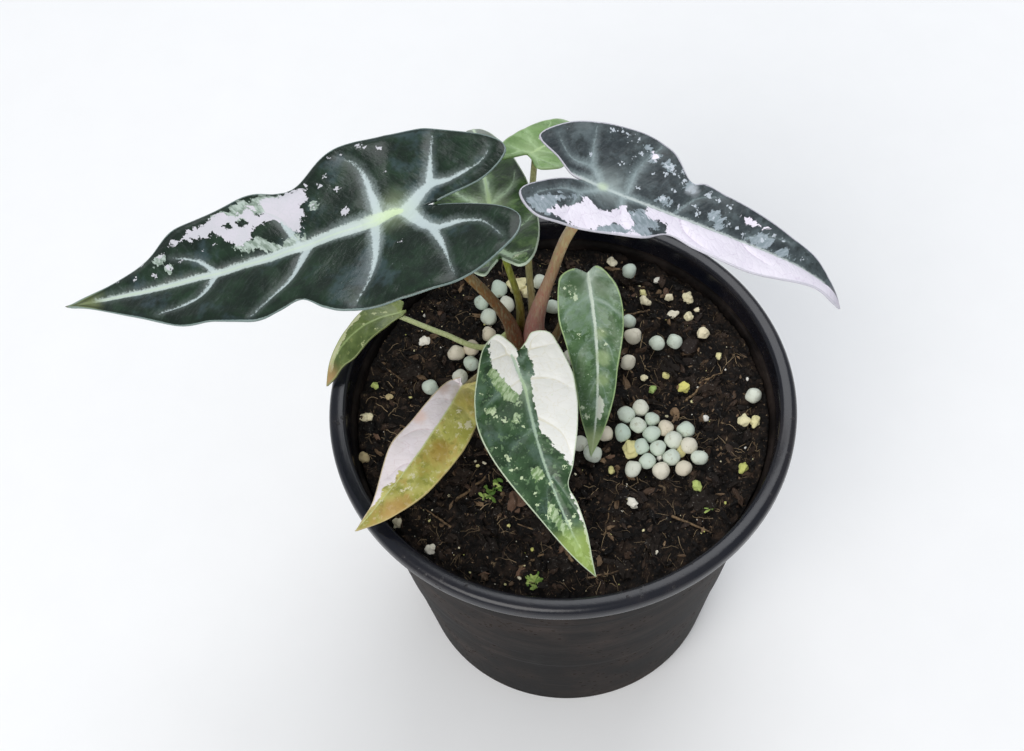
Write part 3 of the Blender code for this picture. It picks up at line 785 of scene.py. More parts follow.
# %% [markdown]
# ## How a blade is drawn
# An alocasia's blade is an arrowhead: two lobes behind the star, where the stalk
# joins, and a long drip tip ahead of it. It could be sculpted, but a drawing keeps
# it exact. Each half is drawn flat, with an inner edge from lobe tip to sinus and
# an outer edge from lobe tip to leaf tip, and is then bent: arch lifts the midrib,
# bow swings it, fold tilts the halves, power says how near the tip it drops, and
# back how far the lobes hang. Distances are millimetres, with y from the star to
# the tip and x across, positive on the blade's right.

# %% Leaf drawings
PLAIN_BEND = dict(power=2.0, back=0.3)
LEAVES = {
    "large_left": dict(
        star=(-46.0, 15.8, 205.0), tip=(-146.3, 4.0, 180.0),
        arch=24.0, bow=-8.5, fold=0.10,
        right=dict(inner=[(-34.4, 12.0), (-26.5, 4.6), (-15.0, 0.9), (-8.0, -0.5)], share=0.20,
                   outer=[(-34.4, 12.0), (-29.0, 18.5), (-12.0, 25.3), (8.0, 27.4), (18.0, 26.3),
                          (27.5, 20.3), (33.0, 19.9), (40.0, 21.7), (52.0, 20.8), (65.0, 18.4),
                          (74.0, 10.0), (86.0, 4.4)]),
        left=dict(inner=[(-35.4, -12.5), (-28.0, -6.2), (-16.0, -2.0), (-8.0, -0.5)], share=0.22,
                  outer=[(-35.4, -12.5), (-30.6, -22.3), (-16.3, -30.3), (-1.0, -32.3),
                         (14.0, -29.5), (21.0, -25.5), (27.5, -19.4), (34.0, -20.4),
                         (41.0, -21.7), (53.0, -18.0), (63.0, -16.0), (80.0, -8.5),
                         (93.0, -3.0)])),
    "large_right": dict(
        star=(15.1, 25.3, 200.0), tip=(83.9, 4.9, 165.0),
        arch=14.0, power=8.0, bow=0.0, fold=0.22, back=0.5,
        right=dict(inner=[(-24.8, 15.5), (-19.0, 7.4), (-11.5, 2.0), (-5.0, 0.5)], share=0.18,
                   outer=[(-24.8, 15.5), (-18.3, 21.7), (-8.7, 20.2), (1.2, 17.3), (12.5, 13.7),
                          (20.0, 8.0), (27.9, 9.6), (36.0, 11.0), (45.0, 10.6), (55.0, 8.2),
                          (66.0, 4.6), (74.0, 3.4)]),
        left=dict(inner=[(-24.4, -7.2), (-17.0, -3.0), (-11.5, 0.0), (-5.0, 0.5)], share=0.20,
                  outer=[(-24.4, -7.2), (-16.2, -15.6), (-5.1, -19.4), (5.2, -21.0),
                         (14.0, -18.4), (21.5, -11.6), (27.0, -13.0), (41.0, -10.5),
                         (53.0, -8.0), (63.4, -5.6), (71.0, -2.2)])),
    "back_left": dict(
        star=(-19.9, 32.1, 185.0), tip=(-27.2, 89.0, 155.0),
        arch=20.0, bow=0.0, fold=0.10,
        right=dict(inner=[(-35.5, 5.0), (-32.0, 2.0), (-28.4, 0.0)], share=0.12,
                   outer=[(-35.5, 5.0), (-32.8, 8.8), (-22.7, 12.3), (-8.0, 13.4), (8.0, 12.4),
                          (20.0, 10.2), (35.0, 7.5), (50.0, 4.0)]),
        left=dict(inner=[(-38.7, -5.5), (-33.5, -2.6), (-28.4, 0.0)], share=0.14,
                  outer=[(-38.7, -5.5), (-34.0, -9.5), (-24.0, -12.5), (-10.0, -15.5),
                         (2.0, -16.8), (11.0, -14.5), (20.0, -11.2), (35.0, -7.5),
                         (50.0, -4.0)])),
    "back_top": dict(
        star=(-6.3, 48.7, 190.0), tip=(14.8, 74.4, 165.0),
        arch=16.0, bow=0.0, fold=0.10,
        right=dict(inner=[(-8.7, 7.2), (-5.6, 3.0), (-3.5, 0.0)], share=0.18,
                   outer=[(-8.7, 7.2), (-3.7, 10.8), (4.0, 10.2), (12.0, 8.5), (24.0, 6.0),
                          (34.0, 3.0)]),
        left=dict(inner=[(-15.4, -1.8), (-9.5, -1.0), (-3.5, 0.0)], share=0.25,
                  outer=[(-15.4, -1.8), (-14.0, -4.6), (-5.0, -8.2), (8.4, -8.8),
                         (17.3, -7.9), (27.0, -6.8), (36.0, -3.2)])),
    "small_left": dict(
        star=(-52.0, 27.2, 137.0), tip=(-76.0, 6.9, 126.0),
        arch=20.0, bow=4.0, fold=0.0,
        right=dict(inner=[(-3.6, 2.2), (-2.4, 1.0), (-1.0, 0.0)], share=0.16,
                   outer=[(-3.6, 2.2), (-2.2, 4.6), (3.0, 6.4), (9.0, 4.9), (15.5, 3.1),
                          (21.0, 2.0), (28.0, 1.1)]),
        left=dict(inner=[(-2.2, -1.0), (-1.7, -0.4), (-1.0, 0.0)], share=0.08,
                  outer=[(-2.2, -1.0), (0.5, -1.7), (7.5, -4.8), (14.0, -6.0), (20.0, -6.5),
                         (24.5, -4.6), (29.5, -3.0)])),
    "front_left": dict(
        star=(-31.4, -3.5, 140.0), tip=(-64.0, -47.6, 130.0),
        arch=24.0, bow=-4.0, fold=0.15,
        right=dict(inner=[(-2.6, 2.4), (-1.8, 1.2), (-0.8, 0.0)], share=0.06,
                   outer=[(-2.6, 2.4), (1.5, 4.8), (8.9, 6.4), (20.0, 7.8), (28.0, 8.5),
                          (36.0, 6.2), (45.3, 2.0), (51.0, 0.9)]),
        left=dict(inner=[(-4.4, -4.0), (-2.8, -1.8), (-0.8, 0.0)], share=0.08,
                  outer=[(-4.4, -4.0), (-0.4, -7.2), (6.0, -10.6), (15.0, -12.2),
                         (27.0, -11.4), (37.0, -10.4), (46.4, -6.5), (52.0, -3.0)])),
    "front_centre": dict(
        star=(-10.8, -11.7, 150.0), tip=(8.9, -61.2, 122.0),
        arch=20.0, bow=3.6, fold=0.10,
        right=dict(inner=[(-19.5, 2.2), (-16.0, -0.9), (-12.3, -2.4)], share=0.16,
                   outer=[(-19.5, 2.2), (-16.4, 7.9), (-9.3, 12.6), (-0.8, 16.7), (6.8, 17.1),
                          (15.7, 15.0), (30.0, 10.0), (40.0, 6.6), (53.0, 2.8)]),
        left=dict(inner=[(-16.4, -8.5), (-14.2, -5.4), (-12.3, -2.4)], share=0.14,
                  outer=[(-16.4, -8.5), (-14.8, -13.0), (-10.0, -14.5), (4.0, -15.4),
                         (14.0, -13.4), (25.0, -8.6), (31.0, -4.7), (37.0, -5.2),
                         (46.0, -4.3), (55.0, -1.6)])),
    "front_right": dict(
        star=(9.1, 19.5, 165.0), tip=(8.7, -18.6, 120.0),
        arch=16.0, bow=-2.5, fold=0.15,
        right=dict(inner=[(-2.8, 4.4), (-2.2, 2.2), (-1.2, 0.2)], share=0.12,
                   outer=[(-2.8, 4.4), (-1.2, 8.0), (3.3, 9.8), (11.7, 10.9), (19.0, 9.6),
                          (29.5, 7.5), (42.0, 5.4), (52.0, 2.2)]),
        left=dict(inner=[(-3.4, -2.6), (-2.5, -1.0), (-1.2, 0.2)], share=0.12,
                  outer=[(-3.4, -2.6), (-2.0, -5.2), (2.0, -8.2), (8.0, -9.2), (16.0, -8.6),
                         (27.0, -6.4), (38.0, -5.1), (50.0, -2.6)])),
}

LEAVES = {name: {**PLAIN_BEND, **leaf} for name, leaf in LEAVES.items()}
print("Leaves drawn:", ", ".join(LEAVES))

# %% From the drawing to the bent blade
LOBE_SHARE = 0.28


def leaf_axes(leaf):
    """Along the blade, across it to the right, and out of its upper face."""
    star, tip = Vector(leaf["star"]), Vector(leaf["tip"])
    along = (tip - star).normalized()
    up = Vector((0.0, 0.0, 1.0))
    normal = (up - along * up.dot(along)).normalized()
    return star, along, along.cross(normal), normal, (tip - star).length


def bend(leaf, flat, lift=0.0):
    """Rows of (y, x) carried onto the bent blade, raised by lift; all in mm."""
    star, along, across, normal, length = (np.array(a) for a in leaf_axes(leaf))
    y, x = flat[:, 0], flat[:, 1]
    u = y / length
    ahead = np.maximum(u, 0.0)
    rise = np.where(u > 0, leaf["arch"] * (ahead - ahead ** leaf["power"]),
                    leaf["arch"] * leaf["back"] * u)
    swing = 4.0 * leaf["bow"] * ahead * (1.0 - ahead)
    rise = rise + leaf["fold"] * (np.sqrt(x * x + 1.0) - 1.0) + lift
    return (star + y[:, None] * along + (x + swing)[:, None] * across
            + rise[:, None] * normal)


def find_span(points, share):
    """The points, the spans between them, and which span holds a share of the length."""
    pts = [Vector(p) for p in points]
    chords = [(b - a).length for a, b in zip(pts, pts[1:])]
    target, i = share * sum(chords), 0
    while i < len(chords) - 1 and target > chords[i]:
        target -= chords[i]
        i += 1
    return pts, chords, i, min(target / chords[i], 1.0)


def along_polyline(points, share, before=None):
    """Smooth (Catmull-Rom) point at a share of the chord length of a polyline.

    "before" is a point ahead of the first, so that two lines meet smoothly there.
    """
    pts, _, i, t = find_span(points, share)
    a = pts[i - 1] if i else Vector(before or points[0])
    b, c, d = pts[i], pts[i + 1], pts[min(i + 2, len(pts) - 1)]
    return 0.5 * (2.0 * b + (c - a) * t + (2.0 * a - 5.0 * b + 4.0 * c - d) * t ** 2
                  + (3.0 * b - a - 3.0 * c + d) * t ** 3)


def ruling(leaf, half, v):
    """Inner and outer (y, x) ends of one ruling across a half."""
    tip = (leaf_axes(leaf)[4], 0.0)
    outer = half["outer"] + [tip]
    if v < LOBE_SHARE:
        return (along_polyline(half["inner"], v / LOBE_SHARE, half["outer"][1]),
                along_polyline(outer, half["share"] * v / LOBE_SHARE, half["inner"][1]))
    t = (v - LOBE_SHARE) / (1.0 - LOBE_SHARE)
    return (Vector(half["inner"][-1]).lerp(Vector(tip), t),
            along_polyline(outer, half["share"] + (1.0 - half["share"]) * t))


def half_blade(leaf, half, v, w):
    """The (y, x) place at v along a half and w from its midrib to its margin."""
    inside, outside = ruling(leaf, half, v)
    return inside.lerp(outside, w)


print("Blade lengths, mm:", {name: round(leaf_axes(leaf)[4]) for name, leaf in LEAVES.items()})

# %% [markdown]
# ## Veins and patches as distances
# A variegated blade is a map: midrib, side veins, pale patches, grey-green patches
# and flecks. Painted pictures aren't used here, so each map is stored as a number
# on every point: how far, in millimetres, that point is from the edge of a vein or
# a patch. A finish can then draw a crisp or feathered edge anywhere between points
# by comparing the number with a threshold, and can roughen that edge with noise.
# Veins are listed on the ruled net, v from lobe tip to leaf tip and w from the
# midrib out, so that one set fits every leaf.

# %% Vein net
VEIN_STEPS = 14
FAR, OUTSIDE = 40.0, -30.0
SIDE_VEINS = {
    "right": [([(.31, 0), (.25, .25), (.19, .24), (.10, .38), (.07, .74)], 1.0),
              ([(.25, .25), (.24, .57), (.23, .90)], .6),
              ([(.36, 0), (.38, .65), (.41, .90)], .75), ([(.51, 0), (.54, .58), (.60, .85)], .62),
              ([(.67, 0), (.70, .28), (.75, .50)], .40)],
    "left": [([(.31, 0), (.26, .26), (.19, .25), (.13, .33), (.09, .76)], 1.0),
             ([(.26, .26), (.24, .54), (.23, .92)], .6),
             ([(.37, 0), (.37, .34), (.38, .58), (.41, .95)], .75),
             ([(.49, 0), (.52, .39), (.55, .64), (.61, .92)], .62),
             ([(.67, 0), (.71, .42), (.79, .78)], .42)],
}


def to_lines(flat, lines):
    """Distance from each point to the nearest line of (y, x, half width) points."""
    nearest = np.full(len(flat), FAR)
    for line in lines:
        for (y0, x0, r0), (y1, x1, r1) in zip(line, line[1:]):
            start, run = np.array((y0, x0)), np.array((y1 - y0, x1 - x0))
            t = np.clip(((flat - start) @ run) / max(run @ run, 1e-9), 0.0, 1.0)
            gap = np.linalg.norm(flat - start - t[:, None] * run, axis=1)
            nearest = np.minimum(nearest, gap - (r0 + (r1 - r0) * t))
    return nearest


def to_patch(flat, corners):
    """Distance inside (positive) or outside (negative) a closed patch."""
    ring = [(*corner, 0.0) for corner in corners + corners[:1]]
    gap, inside = to_lines(flat, [ring]), np.zeros(len(flat), bool)
    y, x = flat[:, 0], flat[:, 1]
    for (y0, x0, _), (y1, x1, _) in zip(ring, ring[1:]):
        crosses = (y0 > y) != (y1 > y)
        with np.errstate(divide="ignore", invalid="ignore"):
            inside ^= crosses & (x < (x1 - x0) * (y - y0) / (y1 - y0) + x0)
    return np.where(inside, gap, -gap)


def patches(flat, side, shapes, spots=(), holes=()):
    """Union of patches and round spots, less round holes.

    A patch that starts with "right" or "left" is cut off at the midrib.
    """
    field = np.full(len(flat), OUTSIDE)
    for corners in shapes:
        if isinstance(corners[0], str):
            if corners[0] != side:
                continue
            corners = corners[1:]
        field = np.maximum(field, to_patch(flat, corners))
    for y, x, r in spots:
        field = np.maximum(field, r - np.hypot(flat[:, 0] - y, flat[:, 1] - x))
    for y, x, r in holes:
        field = np.minimum(field, np.hypot(flat[:, 0] - y, flat[:, 1] - x) - r)
    return field


def vein_lines(leaf, wide):
    """Side veins of both halves as lines on the flat drawing."""
    lines = []
    for side, veins in SIDE_VEINS.items():
        for points, weight in veins:
            bent = [half_blade(leaf, leaf[side], v, w) for v, w in points]
            line = []
            for i in range(VEIN_STEPS + 1):
                share = i / VEIN_STEPS
                at = along_polyline(bent, share)
                line.append((at.x, at.y, wide * weight * (1.0 - 1.2 * share ** 0.75)))
            lines.append(line)
    return lines


print("Vein net of", sum(len(v) for v in SIDE_VEINS.values()), "veins a leaf")

# %% [markdown]
# ## What each blade looks like
# One table holds each blade's own look: the grid it needs, the width of its veins,
# its colours, and where its patches and flecks lie. The two big blades are nearly
# black-green and slate; the front ones are cream, pink, olive or plain green.

# %% Looks
PLAIN_LOOK = dict(
    gloss=0.36, specular=0.4, ray=0.05, net=0.04, blotches=(), haze_reach=20.0, feather=0.9,
    halo=0.5, vein_strength=0.85, rib_strength=0.92, rib_from=-1.5, jag=3.4,
    sage_strength=0.9, crumb=0.5, crumb_from=0.735, pale_net=0.35, pale_vein=0.45,
    pale_line=(196, 190, 200), heart_reach=11.0, glow=0.4, centre=(186, 214, 150),
    centre_strength=0.5, dark_line=0.0, margin_width=0.75, margin_strength=0.7,
    under_vein=(178, 184, 150), tints=(), pale_patches=(), islands=(), sage_patches=(),
    sage_spots=(), specks=())
LOOKS = {
    "large_left": dict(
        grid=(170, 42), vein_width=2.2, rib_width=(2.3, 0.45), sink=0.45, quilt=0.9,
        ripple=(5.5, 0.9), feather=0.8, halo=0.45, haze_reach=26.0, dark_line=0.6, net=0.02,
        margin_width=0.36, margin_strength=0.8, specular=0.36, gloss=0.30, crumb=0.3,
        ground=((11, 28, 17), (28, 50, 32)), vein=(196, 210, 210), rib=(196, 209, 204),
        heart=(210, 230, 186), centre=(204, 224, 182), centre_strength=0.3, glow=0.30,
        # The grey-blue blotch is painted sheen; the near-black one is the leaf's own darker mottling.
        blotches=[(0.05, 0.51, 0.62, (66, 84, 92), 0.45), (0.3, 0.50, 0.64, (14, 28, 19), 0.6)],
        # The slate margin colour is partly the edge's own colour and partly a painted reflection of the
        # sky on the down-curled edge.
        heart_reach=12.0, jag=4.2, crumb_from=0.72, margin=(134, 152, 148),
        pale=((204, 203, 209), (211, 207, 215)),
        pale_line=(190, 196, 196), sage=(132, 148, 134), sage_two=(186, 200, 190),
        under=((122, 136, 112), (104, 112, 104)),
        pale_patches=[[(66.0, 12.8), (62.0, 15.4), (56.0, 17.2), (50.0, 18.6), (46.7, 17.2),
                       (43.5, 16.4), (41.0, 18.4), (35.5, 18.6), (29.9, 19.2), (24.6, 18.9),
                       (24.2, 15.0), (25.4, 11.3), (25.4, 7.1), (26.6, 4.5), (29.1, 6.0),
                       (32.4, 9.6), (35.1, 11.0), (39.7, 10.6), (41.3, 8.9), (41.0, 7.2),
                       (43.8, 6.6), (46.1, 6.9), (49.2, 10.0), (52.8, 12.1), (60.0, 12.2)]],
        islands=[(43.3, 13.2, 1.7), (35.6, 9.4, 1.4), (38.4, 16.0, 1.2), (47.6, 13.6, 0.9)],
        sage_patches=[[(46.7, 5.6), (46.1, 7.4), (41.0, 7.2), (36.5, 5.2), (33.1, 2.9),
                       (28.3, 5.7), (26.3, 2.4), (28.7, 1.2), (33.2, 0.9), (38.5, 3.3),
                       (44.0, 3.7)],
                      [(53.3, 18.3), (46.6, 20.0), (39.0, 20.8), (31.4, 20.0), (27.0, 17.6),
                       (30.8, 13.5), (39.3, 14.0), (46.0, 13.6), (52.5, 15.9)]],
        sage_spots=[(70.0, 8.5, 1.6), (66.5, 5.0, 1.4), (22.3, 11.1, 1.3)],
        specks=[(1.9, 22.4, 1.1), (7.6, 25.2, 1.3), (0.9, 13.9, 0.8), (19.8, 17.4, 1.0),
                (15.2, 14.2, 1.2), (22.3, 11.1, 1.1), (13.4, 5.5, 1.6), (18.0, 19.8, 0.8),
                (67.0, 5.3, 1.2), (71.6, 3.9, 1.1), (66.0, 4.6, 0.9), (69.8, 9.1, 1.1),
                (52.1, 9.3, 0.9), (78.2, 3.9, 1.0), (68.7, 9.9, 1.0), (63.0, 6.3, 0.9),
                (5.6, 24.0, 0.9), (16.3, 25.0, 0.8), (-1.2, -12.6, 0.9), (76.0, 8.4, 0.9),
                (84.0, 4.4, 0.7), (12.4, 24.6, 0.7), (17.0, 16.0, 0.7), (56.0, 8.0, 0.7)],
        tip=(88.0, (108, 118, 70), 0.9)),
    "large_right": dict(
        grid=(140, 36), vein_width=0.5, rib_width=(0.6, 0.2), rib_from=-12.0, sink=0.30,
        quilt=0.35, ripple=(4.5, 0.6), feather=0.7, halo=0.62, haze_reach=22.0,
        vein_strength=0.5, rib_strength=0.7, margin_width=0.36, margin_strength=0.85,
        crumb=0.85, crumb_from=0.70, gloss=0.40, ground=((42, 50, 54), (64, 74, 76)),
        vein=(152, 168, 170),
        rib=(196, 206, 204), heart=(186, 200, 198), heart_reach=12.0, centre=(214, 220, 214),
        pale_net=0.45, centre_strength=0.2, glow=0.45, margin=(208, 206, 216), net=0.06,
        # The grey-blue blotch is painted sheen; the dark one is the leaf's own mottling.
        blotches=[(0.22, 0.50, 0.66, (98, 110, 114), 0.35), (0.5, 0.52, 0.64, (32, 40, 40), 0.7)],
        tints=[(22.6, -9.6, 3.0, (186, 192, 198), 0.75), (-2.0, 0.0, 2.5, (200, 218, 180), 0.6),
               (-13.0, -14.5, 4.0, (120, 134, 136), 0.35)],
        pale=((238, 231, 243), (242, 236, 246)), fleck=(196, 204, 212),
        pale_line=(204, 190, 210), pale_vein=0.7, sage=(136, 150, 156),
        sage_two=(162, 174, 182), jag=3.2, under=((140, 142, 132), (128, 124, 126)),
        pale_patches=[["right", (11.2, -4.0), (80.0, -4.0), (80.0, 14.0), (50.0, 25.0),
                       (20.0, 30.0), (14.0, 16.0), (18.6, 7.9), (18.2, 5.6), (14.6, 5.2),
                       (12.5, 4.4)],
                      [(-16.0, 19.0), (-12.6, 15.0), (-10.6, 13.0), (-7.0, 9.8), (-5.4, 6.8),
                       (-2.9, 9.0), (1.2, 8.6), (3.5, 6.0), (5.9, 4.2), (7.7, 7.2),
                       (9.4, 10.4), (7.6, 13.0), (4.4, 12.8), (1.2, 14.0), (-0.9, 17.8),
                       (-5.4, 19.6), (-9.6, 19.6)],
                      [(4.0, 16.2), (8.6, 14.0), (12.8, 12.6), (13.2, 14.6), (8.0, 16.6)],
                      [(7.3, -15.7), (7.8, -17.6), (9.8, -16.1), (10.1, -13.9), (8.6, -13.8)],
                      [(37.6, -8.1), (39.9, -7.8), (43.6, -7.1), (47.2, -7.0), (45.3, -6.1),
                       (41.2, -5.6), (38.9, -6.2)]],
        sage_patches=[[(-22.2, 17.6), (-17.6, 12.8), (-12.7, 9.5), (-7.0, 6.0), (-9.2, 9.7),
                       (-13.4, 13.2), (-14.8, 16.9), (-11.8, 17.9), (-16.1, 20.5),
                       (-19.7, 19.9)],
                      [(-2.8, 19.1), (1.1, 12.6), (4.9, 11.4), (8.8, 9.7), (13.5, 9.1),
                       (16.0, 13.0), (6.4, 18.3)],
                      [(6.4, 5.4), (10.0, 3.6), (14.0, 3.4), (17.0, 8.0), (11.5, 10.8), (8.5, 8.5)],
                      [(5.1, -17.7), (7.8, -18.0), (10.4, -16.1), (10.3, -13.2), (8.2, -13.2)],
                      [(11.4, -14.0), (13.7, -15.0), (16.9, -13.7), (16.8, -12.1),
                       (13.9, -12.2)],
                      [(13.9, -2.7), (15.9, -4.7), (17.8, -4.3), (18.3, -2.2), (15.5, -1.7)],
                      [(28.3, -3.9), (30.1, -5.9), (33.5, -5.1), (33.7, -2.6), (35.0, -1.5),
                       (32.5, -0.8), (30.6, -2.2)],
                      [(43.3, -2.1), (45.0, -4.5), (48.9, -4.8), (49.9, -2.8), (48.7, -0.2),
                       (45.5, -0.6)],
                      [(50.4, -0.8), (55.0, -3.4), (56.6, -1.4), (53.0, -0.1)]],
        sage_spots=[(22.0, -9.8, 1.5)],
        specks=[(-8.4, -8.2, 0.9), (0.6, -9.1, 0.9), (-5.3, -17.3, 1.0), (-2.6, -18.6, 1.0),
                (-0.7, -18.3, 0.9), (2.6, -18.0, 0.9), (5.6, -14.6, 1.0), (3.6, -12.6, 0.8),
                (22.6, -11.6, 0.9), (31.0, -9.4, 0.9), (34.6, -8.6, 1.0), (49.6, -5.6, 0.9),
                (53.0, -5.2, 0.9), (21.0, -3.2, 0.8), (8.0, -4.0, 0.8), (38.6, -3.4, 0.8),
                (17.9, -7.0, 0.8), (24.8, -5.0, 0.9), (27.8, -10.0, 1.4), (26.5, -3.1, 1.2),
                (13.8, -10.9, 0.9), (10.8, -9.6, 0.8), (19.3, -10.9, 1.1), (41.1, -2.1, 1.0),
                (1.0, -15.7, 0.9), (14.6, -13.4, 1.3), (16.4, -12.0, 1.2), (13.0, -13.6, 1.0),
                (15.4, -3.4, 1.2), (31.6, -4.2, 0.9), (46.8, -2.6, 1.1), (18.2, -13.4, 0.9),
                (8.9, 6.0, 0.9), (11.5, 5.5, 0.8), (60.0, -2.6, 0.7), (36.0, -3.4, 0.9),
                (-18.0, 15.0, 0.9), (-14.0, 12.0, 0.8)],
        tip=(70.0, (170, 166, 178), 0.4)),
    "back_left": dict(
        grid=(90, 26), vein_width=1.4, rib_width=(0.8, 0.3), sink=0.35, quilt=0.7,
        ripple=(3.0, 0.5), feather=0.8, halo=0.5, margin_width=0.42, margin_strength=0.9,
        specular=0.5, gloss=0.32, crumb=0.4,
        ground=((24, 50, 13), (54, 88, 27)), vein=(186, 210, 176), rib=(192, 214, 180),
        heart=(190, 212, 156), margin=(190, 206, 182),
        pale=((204, 214, 180), (216, 222, 198)), sage=(120, 148, 92),
        blotches=[(0.1, 0.51, 0.62, (112, 142, 84), 0.5), (0.3, 0.50, 0.62, (18, 42, 10), 0.7)],
        under=((132, 156, 104), (118, 140, 96)), specks=[(-30, 5, 1.4), (-26, -8, 1.0)],
        sage_spots=[(-31, 6, 2.0), (-33, -5, 1.6)], tip=(60.0, (150, 170, 110), 0.5)),
    "back_top": dict(
        grid=(80, 24), vein_width=0.8, rib_width=(0.5, 0.25), sink=0.3, quilt=0.5,
        ripple=(3.0, 0.4), feather=0.6, halo=0.25, margin_width=0.45, crumb=0.8,
        blotches=[(0.15, 0.50, 0.62, (160, 190, 136), 0.6), (0.4, 0.52, 0.62, (96, 130, 66), 0.5)],
        ground=((106, 140, 76), (138, 172, 108)), vein=(174, 204, 150), rib=(178, 204, 152),
        heart=(186, 210, 154), margin=(168, 194, 142), pale=((206, 220, 190), (214, 226, 202)),
        sage=(160, 188, 140), under=((150, 178, 124), (138, 166, 112)),
        specks=[(6, -3, 0.8), (10, 4, 0.7), (-4, 6, 0.8)], tip=(30.0, (170, 190, 130), 0.5)),
    "small_left": dict(
        grid=(70, 18), vein_width=0.25, rib_width=(0.4, 0.25), sink=0.2, quilt=0.3,
        ripple=(2.5, 0.3), feather=0.5, halo=0.2, margin_width=0.35, crumb=0.9, crumb_from=0.70,
        vein_strength=0.25, rib_strength=0.5,
        ground=((66, 82, 36), (98, 114, 60)), vein=(126, 140, 84), rib=(136, 150, 92),
        blotches=[(0.2, 0.50, 0.64, (56, 74, 30), 0.6), (0.4, 0.56, 0.64, (132, 142, 84), 0.5)],
        heart=(158, 170, 110), margin=(140, 150, 98), centre_strength=0.2,
        pale=((172, 178, 130), (190, 192, 154)), sage=(134, 148, 96), jag=1.6,
        under=((136, 146, 96), (122, 132, 86)),
        pale_patches=[[(7.2, 8.5), (14.3, 5.6), (22.0, 3.0), (30.0, 2.0), (28.7, -1.3),
                       (22.7, -0.2), (16.3, 2.0), (9.4, 3.8)]],
        specks=[(15.0, -5.3, 1.1), (5.9, 2.3, 0.9), (3.0, 1.8, 1.0), (10.9, 0.3, 0.8),
                (8.9, -3.6, 0.7), (2.5, -0.7, 0.7)],
        tip=(24.0, (168, 136, 90), 0.95)),
    "front_left": dict(
        grid=(100, 28), vein_width=0.32, rib_width=(0.30, 0.15), sink=0.30, quilt=0.6,
        ripple=(3.5, 0.6), feather=0.45, halo=0.12, margin_width=0.4, gloss=0.40,
        crumb=0.6, ground=((156, 154, 70), (192, 188, 108)), vein=(196, 190, 130), fleck=(214, 208, 172),
        blotches=[(0.13, 0.50, 0.62, (182, 146, 78), 0.5), (0.35, 0.52, 0.62, (124, 130, 52), 0.6),
                  (0.55, 0.56, 0.64, (208, 204, 160), 0.55)],
        rib=(196, 186, 136), heart=(206, 198, 150), margin=(188, 170, 116),
        pale=((226, 217, 219), (232, 223, 228)), pale_line=(204, 182, 184), pale_vein=0.5,
        sage=(186, 180, 120), under=((168, 160, 108), (154, 140, 96)), jag=1.5,
        pale_patches=[["right", (-4.0, 6.0), (-4.0, -4.0), (33.0, -4.0), (33.5, 1.8),
                       (35.5, 0.9), (37.9, 0.8), (40.4, 1.9), (43.4, 1.2), (47.4, 1.0),
                       (51.3, 1.0), (48.0, 5.0), (36.0, 10.0), (18.0, 12.0), (6.0, 9.0)]],
        specks=[(44, 0, 0.9), (36.3, -5.2, 1.1), (33.1, -3.5, 1.2), (31, -9, 0.8),
                (7.9, -3.7, 1.2), (10.4, -9.1, 1.8), (11.7, -7.1, 1.4), (17.1, -1.0, 0.8),
                (38.0, -4.0, 0.9), (28.5, -4.5, 0.8)],
        tints=[(23.0, -6.4, 6.0, (158, 118, 44), 0.6), (44.5, -6.0, 7.0, (178, 128, 74), 0.6),
               (3.0, -3.1, 6.0, (150, 132, 46), 0.55), (33.0, -6.5, 5.0, (134, 136, 52), 0.5),
               (16.1, 6.8, 3.6, (226, 190, 174), 0.6), (4.0, 4.8, 3.0, (170, 120, 84), 0.4)],
        tip=(51.0, (168, 146, 84), 0.5)),
    "front_centre": dict(
        grid=(130, 34), vein_width=0.5, rib_width=(0.62, 0.22), rib_from=-12.0, sink=0.30,
        quilt=0.35, ripple=(4.0, 0.5), feather=0.5, halo=0.5, haze_reach=17.0,
        # The grey-green blotch at the largest scale is painted sheen; the other two are dark and pale
        # mottling.
        blotches=[(0.08, 0.49, 0.60, (98, 122, 112), 0.42), (0.25, 0.51, 0.62, (20, 46, 18), 0.85),
                  (0.5, 0.56, 0.62, (116, 146, 104), 0.6)],
        vein_strength=0.5, fleck=(204, 220, 178), glow=0.3, heart_reach=8.0, rib_strength=0.8,
        margin_width=0.4, margin_strength=0.85,
        ground=((34, 62, 30), (60, 92, 54)), vein=(128, 152, 134), rib=(172, 194, 178),
        heart=(184, 206, 172), centre_strength=0.2, margin=(200, 214, 184), specular=0.45,
        gloss=0.34, crumb=0.8, pale=((234, 234, 228), (240, 239, 234)),
        pale_line=(220, 214, 190), pale_vein=0.6,
        sage=(118, 148, 92), sage_two=(186, 206, 164), jag=2.2, crumb_from=0.70,
        under=((140, 160, 118), (128, 146, 108)),
        pale_patches=[["left", (-10.3, -5.4), (-13.1, -5.0), (-18.0, -8.0), (-18.0, -14.0),
                       (-11.4, -18.0), (0.4, -18.0), (11.5, -17.0), (24.5, -10.0),
                       (25.4, -7.2), (22.1, -6.1), (20.2, -4.6), (16.5, -3.7), (13.1, -1.8),
                       (12.6, 3.0), (1.0, 3.0), (0.1, -1.2), (-3.8, -3.6), (-7.0, -4.9)],
                      ["left", (26.0, -8.0), (30.0, -5.4), (34.0, -4.6), (46.0, -3.8),
                       (56.0, -0.6), (56.0, -6.0), (26.0, -12.0)],
                      ["right", (-17.4, 5.7), (-20.5, 3.0), (-20.5, -3.0), (-9.1, -1.4),
                       (-3.2, 0.1), (0.8, 1.4), (0.6, 2.6), (-2.2, 4.0), (-5.0, 5.0),
                       (-8.2, 6.4), (-11.3, 7.4), (-14.1, 6.4)]],
        sage_patches=[[(-9.2, 9.4), (0.4, 7.6), (3.4, 3.6), (1.0, 1.8), (-2.7, 2.2),
                       (-6.3, 3.4), (-10.5, 6.8)],
